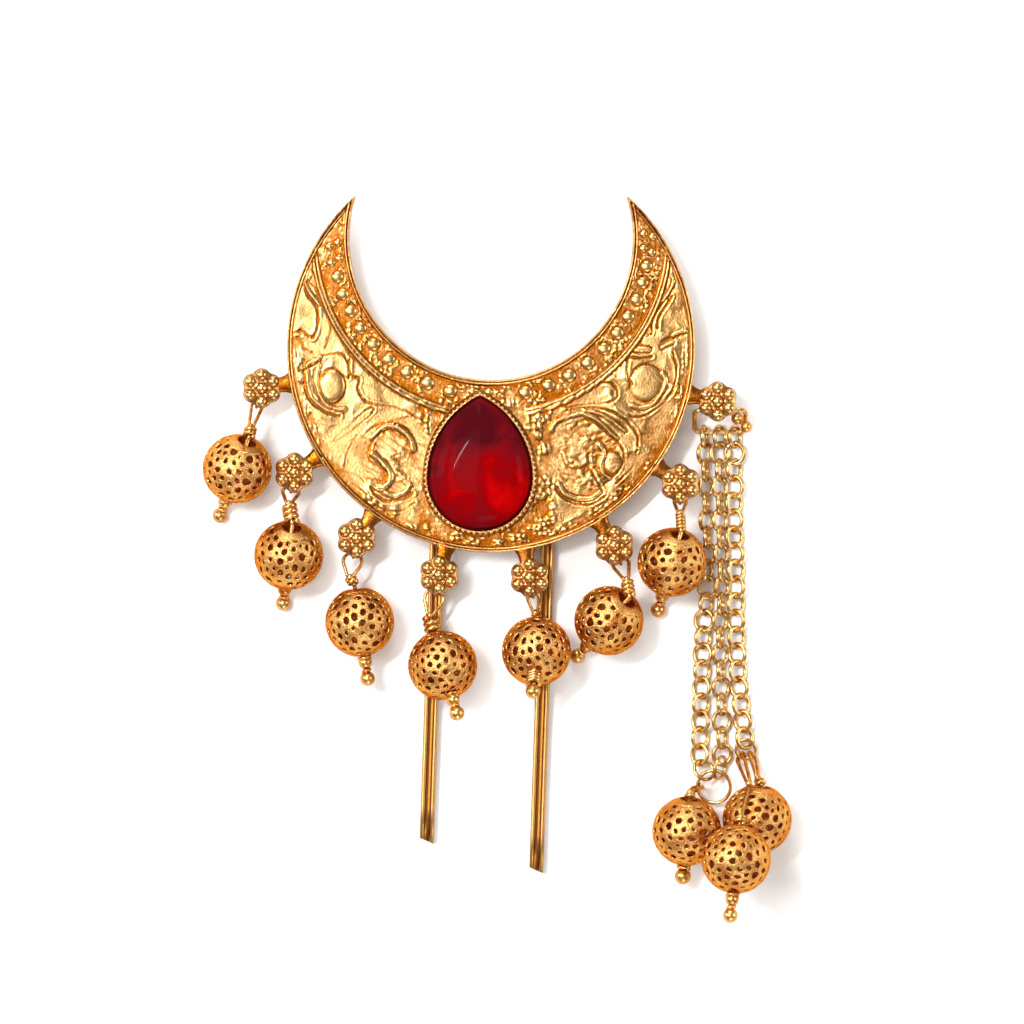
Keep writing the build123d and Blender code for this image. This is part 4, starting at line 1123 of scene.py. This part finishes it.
class BROOCH_OT_balls(bpy.types.Operator):
    """Pierces a shell for each drop, its mouth towards its flower"""
    bl_idname = "brooch.balls"
    bl_label = "Pierced Balls"

    def execute(self, context):
        for seed, (name, centre, axis, *_) in enumerate(drop_pins()):
            node = ("chain_ball_" if name in CLUSTER else "ball_") + name
            turn = axis.to_track_quat("Z", "Y")
            mesh = self.shell(context, seed)
            mesh.transform(Matrix.Translation(centre * MM) @ turn.to_matrix().to_4x4())
            finish_piece(bpy.data.objects.new(node + "_shell", mesh), None, [node])
            points, faces = skin(self.rim(), closed=True, caps=False)
            points = [centre + turn @ Vector(point) for point in points]
            closed_piece(node + "_rim", [(points, faces)], "pierced_gilt_sheet", slot="ball_gold")
        return {"FINISHED"}

    def shell(self, context, seed):
        """One pierced shell with the sheet's thickness."""
        sizes = context.scene.brooch_balls
        shell = grow("pierced_shell", [(0, 0, 0)], pierced_tree, "pierced_shell", {
            "Material": bpy.data.materials["pierced_gilt_sheet"], "Radius": (BALL - 0.02) * MM,
            "Spacing": sizes.spacing, "Hole Share": sizes.hole_share, "Seed": seed})
        context.scene.collection.objects.link(shell)
        thick = shell.modifiers.new("sheet", "SOLIDIFY")
        thick.thickness = sizes.wall
        thick.offset = -1.0
        shell.data.materials.append(bpy.data.materials["bare_copper_inside"])
        thick.material_offset = 1
        mesh = bpy.data.meshes.new_from_object(shell.evaluated_get(context.evaluated_depsgraph_get()))
        bpy.data.objects.remove(shell)
        return mesh

    def rim(self):
        """Rings of the plain zone round the mouth, its edge turned in."""
        rows = [(1.32, sqrt(BALL ** 2 - 1.32 ** 2) - 0.35), (1.35, sqrt(BALL ** 2 - 1.35 ** 2) - 0.05)]
        rows += [(r, sqrt((BALL + 0.02) ** 2 - r * r)) for r in (1.42, 1.6, 1.85, 2.1, 2.35, 2.55)]
        rows += [(r, sqrt((BALL - 0.42) ** 2 - r * r)) for r in (2.5, 1.9, 1.38)]
        return [[(radius * cos(2 * pi * j / 48), radius * sin(2 * pi * j / 48), z) for j in range(48)]
                for radius, z in rows]


class BROOCH_OT_pins(bpy.types.Operator):
    """Bends the pins: end bead, wound collar, stem, wound neck and teardrop loop"""
    bl_idname = "brooch.pins"
    bl_label = "Ball Pins"

    def execute(self, context):
        for k, pin in enumerate(drop_pins()):
            name = pin[0]
            node = ("chain_pin_" if name in CLUSTER else "ball_pin_") + name
            wind = CLUSTER_WIND if name in CLUSTER else WINDS[k]
            closed_piece(node + "_wire", self.parts(*pin, *wind), "wound_gilt_wire", [node], "wire_gold")
        return {"FINISHED"}

    def parts(self, name, centre, axis, start, coil, neck, hook, side, end, tail, outer, wire):
        """Stem, beads, coils and loop of one pin."""
        foot = centre - axis * BALL
        way = (neck - start).normalized()
        bead = 1.05 if tail > 3 else 1.15
        last = foot - axis * (tail - bead + END_BEAD - 0.01)
        last.z = max(last.z, bead)
        turns = max(1.5, coil / (2.1 * wire))
        winding = helix(start + way * wire * 0.5, start + way * (coil - wire * 0.5), outer - wire, turns)
        made = [tube([last, foot, start], 0.3),
                tube([start - axis * 0.1, start + way * 0.05, neck], 0.3),
                round_bead(last, bead),
                round_bead(neck, 0.5, 10, 16),
                tube(winding, wire, 10),
                tube(helix(foot + axis * 0.1, foot - axis * 0.6, 0.75, 1.5), 0.27, 8)]
        if name == "5":
            made.append(tube(helix(foot + axis * 0.2, foot - axis * 1.7, 0.85, 3.5), 0.33, 10))
        elif tail > 3:
            made.append(round_bead(foot - axis * 0.85, 0.95))
            made.append(tube(helix(foot - axis * 1.6, foot - axis * (tail - 1.0), 0.42, 1.2), 0.3, 8))
        made.append(tube(loop_path(neck, hook, side, end), LOOP_WIRE))
        return made


class BROOCH_OT_chains(bpy.types.Operator):
    """Links the three chains and bends the rings that carry them"""
    bl_idname = "brooch.chains"
    bl_label = "Chains and Rings"

    def execute(self, context):
        for name in CHAINS:
            spots, turns = chain_points(name), []
            count = len(spots)
            for k, spot in enumerate(spots):
                way = (spots[min(k + 1, count - 1)] - spots[max(k - 1, 0)]).normalized()
                roll = float(np.interp(k / (count - 1), ROUTE_SHARES, ROLLS[name]))
                tilt = radians(roll + (1 - 0.009 * roll) * (LINK_TILT if k % 2 == 0 else -LINK_TILT))
                normal = up(1).cross(way) * sin(tilt) + up(cos(tilt))
                side = normal.cross(way).normalized()
                turns.append(tuple(Matrix((way, side, way.cross(side))).transposed().to_euler()))
                spot.z = max(spot.z, LINK_HALF_WIDTH * abs(sin(tilt)) + VISIBLE_LINK_WIRE + 0.02)
            obj = grow("chain_" + name + "_links", spots, link_tree, "chain_links", {
                "Material": bpy.data.materials["chain_gilt_wire"], "Wire Radius": VISIBLE_LINK_WIRE * MM,
                "Half Length": LINK_HALF_LENGTH * MM, "Half Width": LINK_HALF_WIDTH * MM}, turn=turns)
            finish_piece(obj, None, ["chain_" + name])
        for name, (centre, normal, radius) in end_rings().items():
            one = normal.orthogonal().normalized()
            two = normal.cross(one)
            path = [centre + (one * cos(turn) + two * sin(turn)) * radius
                    for turn in (2 * pi * k / 56 for k in range(56))]
            closed_piece("end_ring_" + name + "_wire", [tube(path, END_WIRE, 14, True)], "chain_gilt_wire",
                         ["end_ring_" + name], "chain_gold")
        closed_piece("chain_ring_wire", [tube(self.oblong(), RING_WIRE, 14, True)], "wound_gilt_wire",
                     ["chain_ring"], "chain_gold")
        # The solid short pin stays as it is and gets its finish
        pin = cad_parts["short_pin"].data
        pin.materials.clear()
        pin.materials.append(bpy.data.materials["wound_gilt_wire"])
        return {"FINISHED"}

    def oblong(self):
        """Path of the oblong ring, from the last flower's eyelet down to the bar of the first links."""
        tab = tab_places()[-1][1]
        hook = tab + Vector((0, -1.2, RING_HEIGHT))
        slope = tab + Vector((0, -BAR_DROP, LINK_HEIGHT)) - hook
        middle, down = hook + slope / 2 + Vector((RING_SHIFT, 0, 0)), slope.normalized()
        half_width, half_height = RING_HALF - RING_CORNER, slope.length / 2 - RING_CORNER
        path = []
        for turn, side, end in ((0, 1, 1), (90, -1, 1), (180, -1, -1), (270, 1, -1)):
            for k in range(9):
                a = radians(turn + 11.25 * k)
                path.append(middle + Vector((side * half_width + RING_CORNER * cos(a), 0, 0))
                            + down * (end * half_height + RING_CORNER * sin(a)))
        return path


class BROOCH_OT_fork(bpy.types.Operator):
    """Folds the hair fork's channel strip"""
    bl_idname = "brooch.fork"
    bl_label = "Hair Fork"

    def execute(self, context):
        middle = Vector((FORK_X, FORK_Y, FORK_LOW))
        across, along = heading(FORK_LEAN), heading(FORK_LEAN + 90)
        # Place of the strip's middle and the way to its inner side
        stations = [(-FORK_HALF, -LEFT_PRONG * (1 - k / 12), 1, 0) for k in range(12)]
        stations += [(-FORK_HALF * cos(a), FORK_HALF * sin(a), cos(a), -sin(a))
                     for a in (pi * k / 40 for k in range(41))]
        stations += [(FORK_HALF, -RIGHT_PRONG * (k + 1) / 12, -1, 0) for k in range(12)]
        rings = []
        for k, (x, y, side_x, side_y) in enumerate(stations):
            slant = tan(radians(TIP_SLANT)) if k in (0, len(stations) - 1) else 0
            rings.append([middle + across * (x + side_x * place)
                          + along * (y + side_y * place + side_x * place * slant) + up(height)
                          for place, height, _ in FORK_SECTION])
        # Painted shade from the section, darkest in the groove
        recess = [deep for _ in rings for _, _, deep in FORK_SECTION]
        closed_piece("hair_fork_channel", [skin(rings)], "channel_gilt_strip", ["hair_fork"], "fork_gold",
                     recess=recess)
        return {"FINISHED"}


class BROOCH_OT_stage(bpy.types.Operator):
    """Lays the pale floor and sets the soft light and the camera straight above"""
    bl_idname = "brooch.stage"
    bl_label = "Stage"

    def execute(self, context):
        look = context.scene.brooch_stage
        scene = context.scene
        corners = [(x * FLOOR_HALF, y * FLOOR_HALF, 0) for x, y in ((-1, -1), (1, -1), (1, 1), (-1, 1))]
        floor = mesh_object("floor", corners, [(0, 1, 2, 3)])
        scene.collection.objects.link(floor)
        new_material("matt_white_board", {"Base Color": (*look.floor_colour, 1), "Roughness": 0.9,
                                          "Specular IOR Level": 0.1})
        floor.data.materials.append(bpy.data.materials["matt_white_board"])
        self.lights(scene)
        camera = bpy.data.objects.new("camera", bpy.data.cameras.new("camera"))
        scene.collection.objects.link(camera)
        aside = Vector((PICTURE / 2 - CENTRE_PIXEL[0], CENTRE_PIXEL[1] - PICTURE / 2, 0))
        camera.location = aside * (MM / PIXELS_A_MM)
        camera.location.z = FIELD * MM + look.camera_height
        camera.data.sensor_width = 36
        camera.data.lens = 36 * look.camera_height / look.width_seen
        camera.data.clip_start, camera.data.clip_end = 0.05, 20
        scene.camera = camera
        scene.view_settings.view_transform = "Standard"
        scene.view_settings.look = "None"
        return {"FINISHED"}

    def lights(self, scene):
        """Soft boxes round a dim room, so the gilt has both bright and dark to reflect."""
        world = bpy.data.worlds.new("room")
        world.use_nodes = True
        world.node_tree.nodes["Background"].inputs["Color"].default_value = (0.5, 0.485, 0.465, 1)
        world.node_tree.nodes["Background"].inputs["Strength"].default_value = 0.85
        scene.world = world
        # Name, place, width and height in metres, power, and the way that the height runs
        for name, place, wide, tall, power, run in (
            ("key_panel", (-0.185, 0.03, 0.55), 0.34, 0.34, 1.35, (0, 1, 0)),
            ("back_box", (-0.15, 1.0, 0.7), 0.6, 0.6, 8.0, (0, 1, 0)),
            ("left_box", (-0.95, 0.2, 0.6), 0.5, 0.4, 4.0, (0, 1, 0)),
            ("right_box", (1.05, 0.1, 0.6), 0.45, 0.45, 4.5, (0, 1, 0)),
            ("low_box", (0.2, -1.1, 0.6), 0.5, 0.5, 4.5, (0, 1, 0)),
            ("fine_strip", (-0.3, 0.145, 0.8), 0.008, 0.24, 4.0, (0.73, 0.69, 0)),
        ):
            light = bpy.data.objects.new(name, bpy.data.lights.new(name, "AREA"))
            light.data.shape = "RECTANGLE"
            light.data.size = wide
            light.data.size_y = tall
            light.data.energy = power
            light.location = place
            light.rotation_mode = "QUATERNION"
            aim = (Vector((0, -0.02, 0)) - Vector(place)).normalized()
            length = (Vector(run) - aim * Vector(run).dot(aim)).normalized()
            turned = Matrix((length.cross(-aim), length, -aim)).transposed()
            light.rotation_quaternion = turned.to_quaternion()
            scene.collection.objects.link(light)


class BROOCH_PT_panel(bpy.types.Panel):
    """Lists the brooch's sizes and pieces in the sidebar"""
    bl_label = "Brooch"
    bl_idname = "BROOCH_PT_panel"
    bl_space_type = "VIEW_3D"
    bl_region_type = "UI"
    bl_category = "Brooch"

    def draw(self, context):
        layout = self.layout
        for group in GROUPS:
            data = getattr(context.scene, group)
            for name in data.__annotations__:
                layout.prop(data, name)
        for operator in OPERATORS:
            layout.operator(operator.bl_idname)


GROUPS = {"brooch_plate": PlateSizes, "brooch_balls": BallSizes, "brooch_stage": StageLook}
OPERATORS = (BROOCH_OT_plate, BROOCH_OT_granules, BROOCH_OT_setting, BROOCH_OT_flowers, BROOCH_OT_fork,
             BROOCH_OT_balls, BROOCH_OT_pins, BROOCH_OT_chains, BROOCH_OT_stage)


def register():
    """Registers the add-on's classes and its groups of sizes."""
    for name, group in GROUPS.items():
        bpy.utils.register_class(group)
        setattr(bpy.types.Scene, name, PointerProperty(type=group))
    for operator in OPERATORS:
        bpy.utils.register_class(operator)
    bpy.utils.register_class(BROOCH_PT_panel)


def unregister():
    """Removes them again."""
    bpy.utils.unregister_class(BROOCH_PT_panel)
    for operator in reversed(OPERATORS):
        bpy.utils.unregister_class(operator)
    for name, group in reversed(GROUPS.items()):
        delattr(bpy.types.Scene, name)
        bpy.utils.unregister_class(group)


def main():
    register()
    make_materials()
    for operator in OPERATORS:
        area, name = operator.bl_idname.split(".")
        getattr(getattr(bpy.ops, area), name)()


if __name__ == "__main__":
    main()
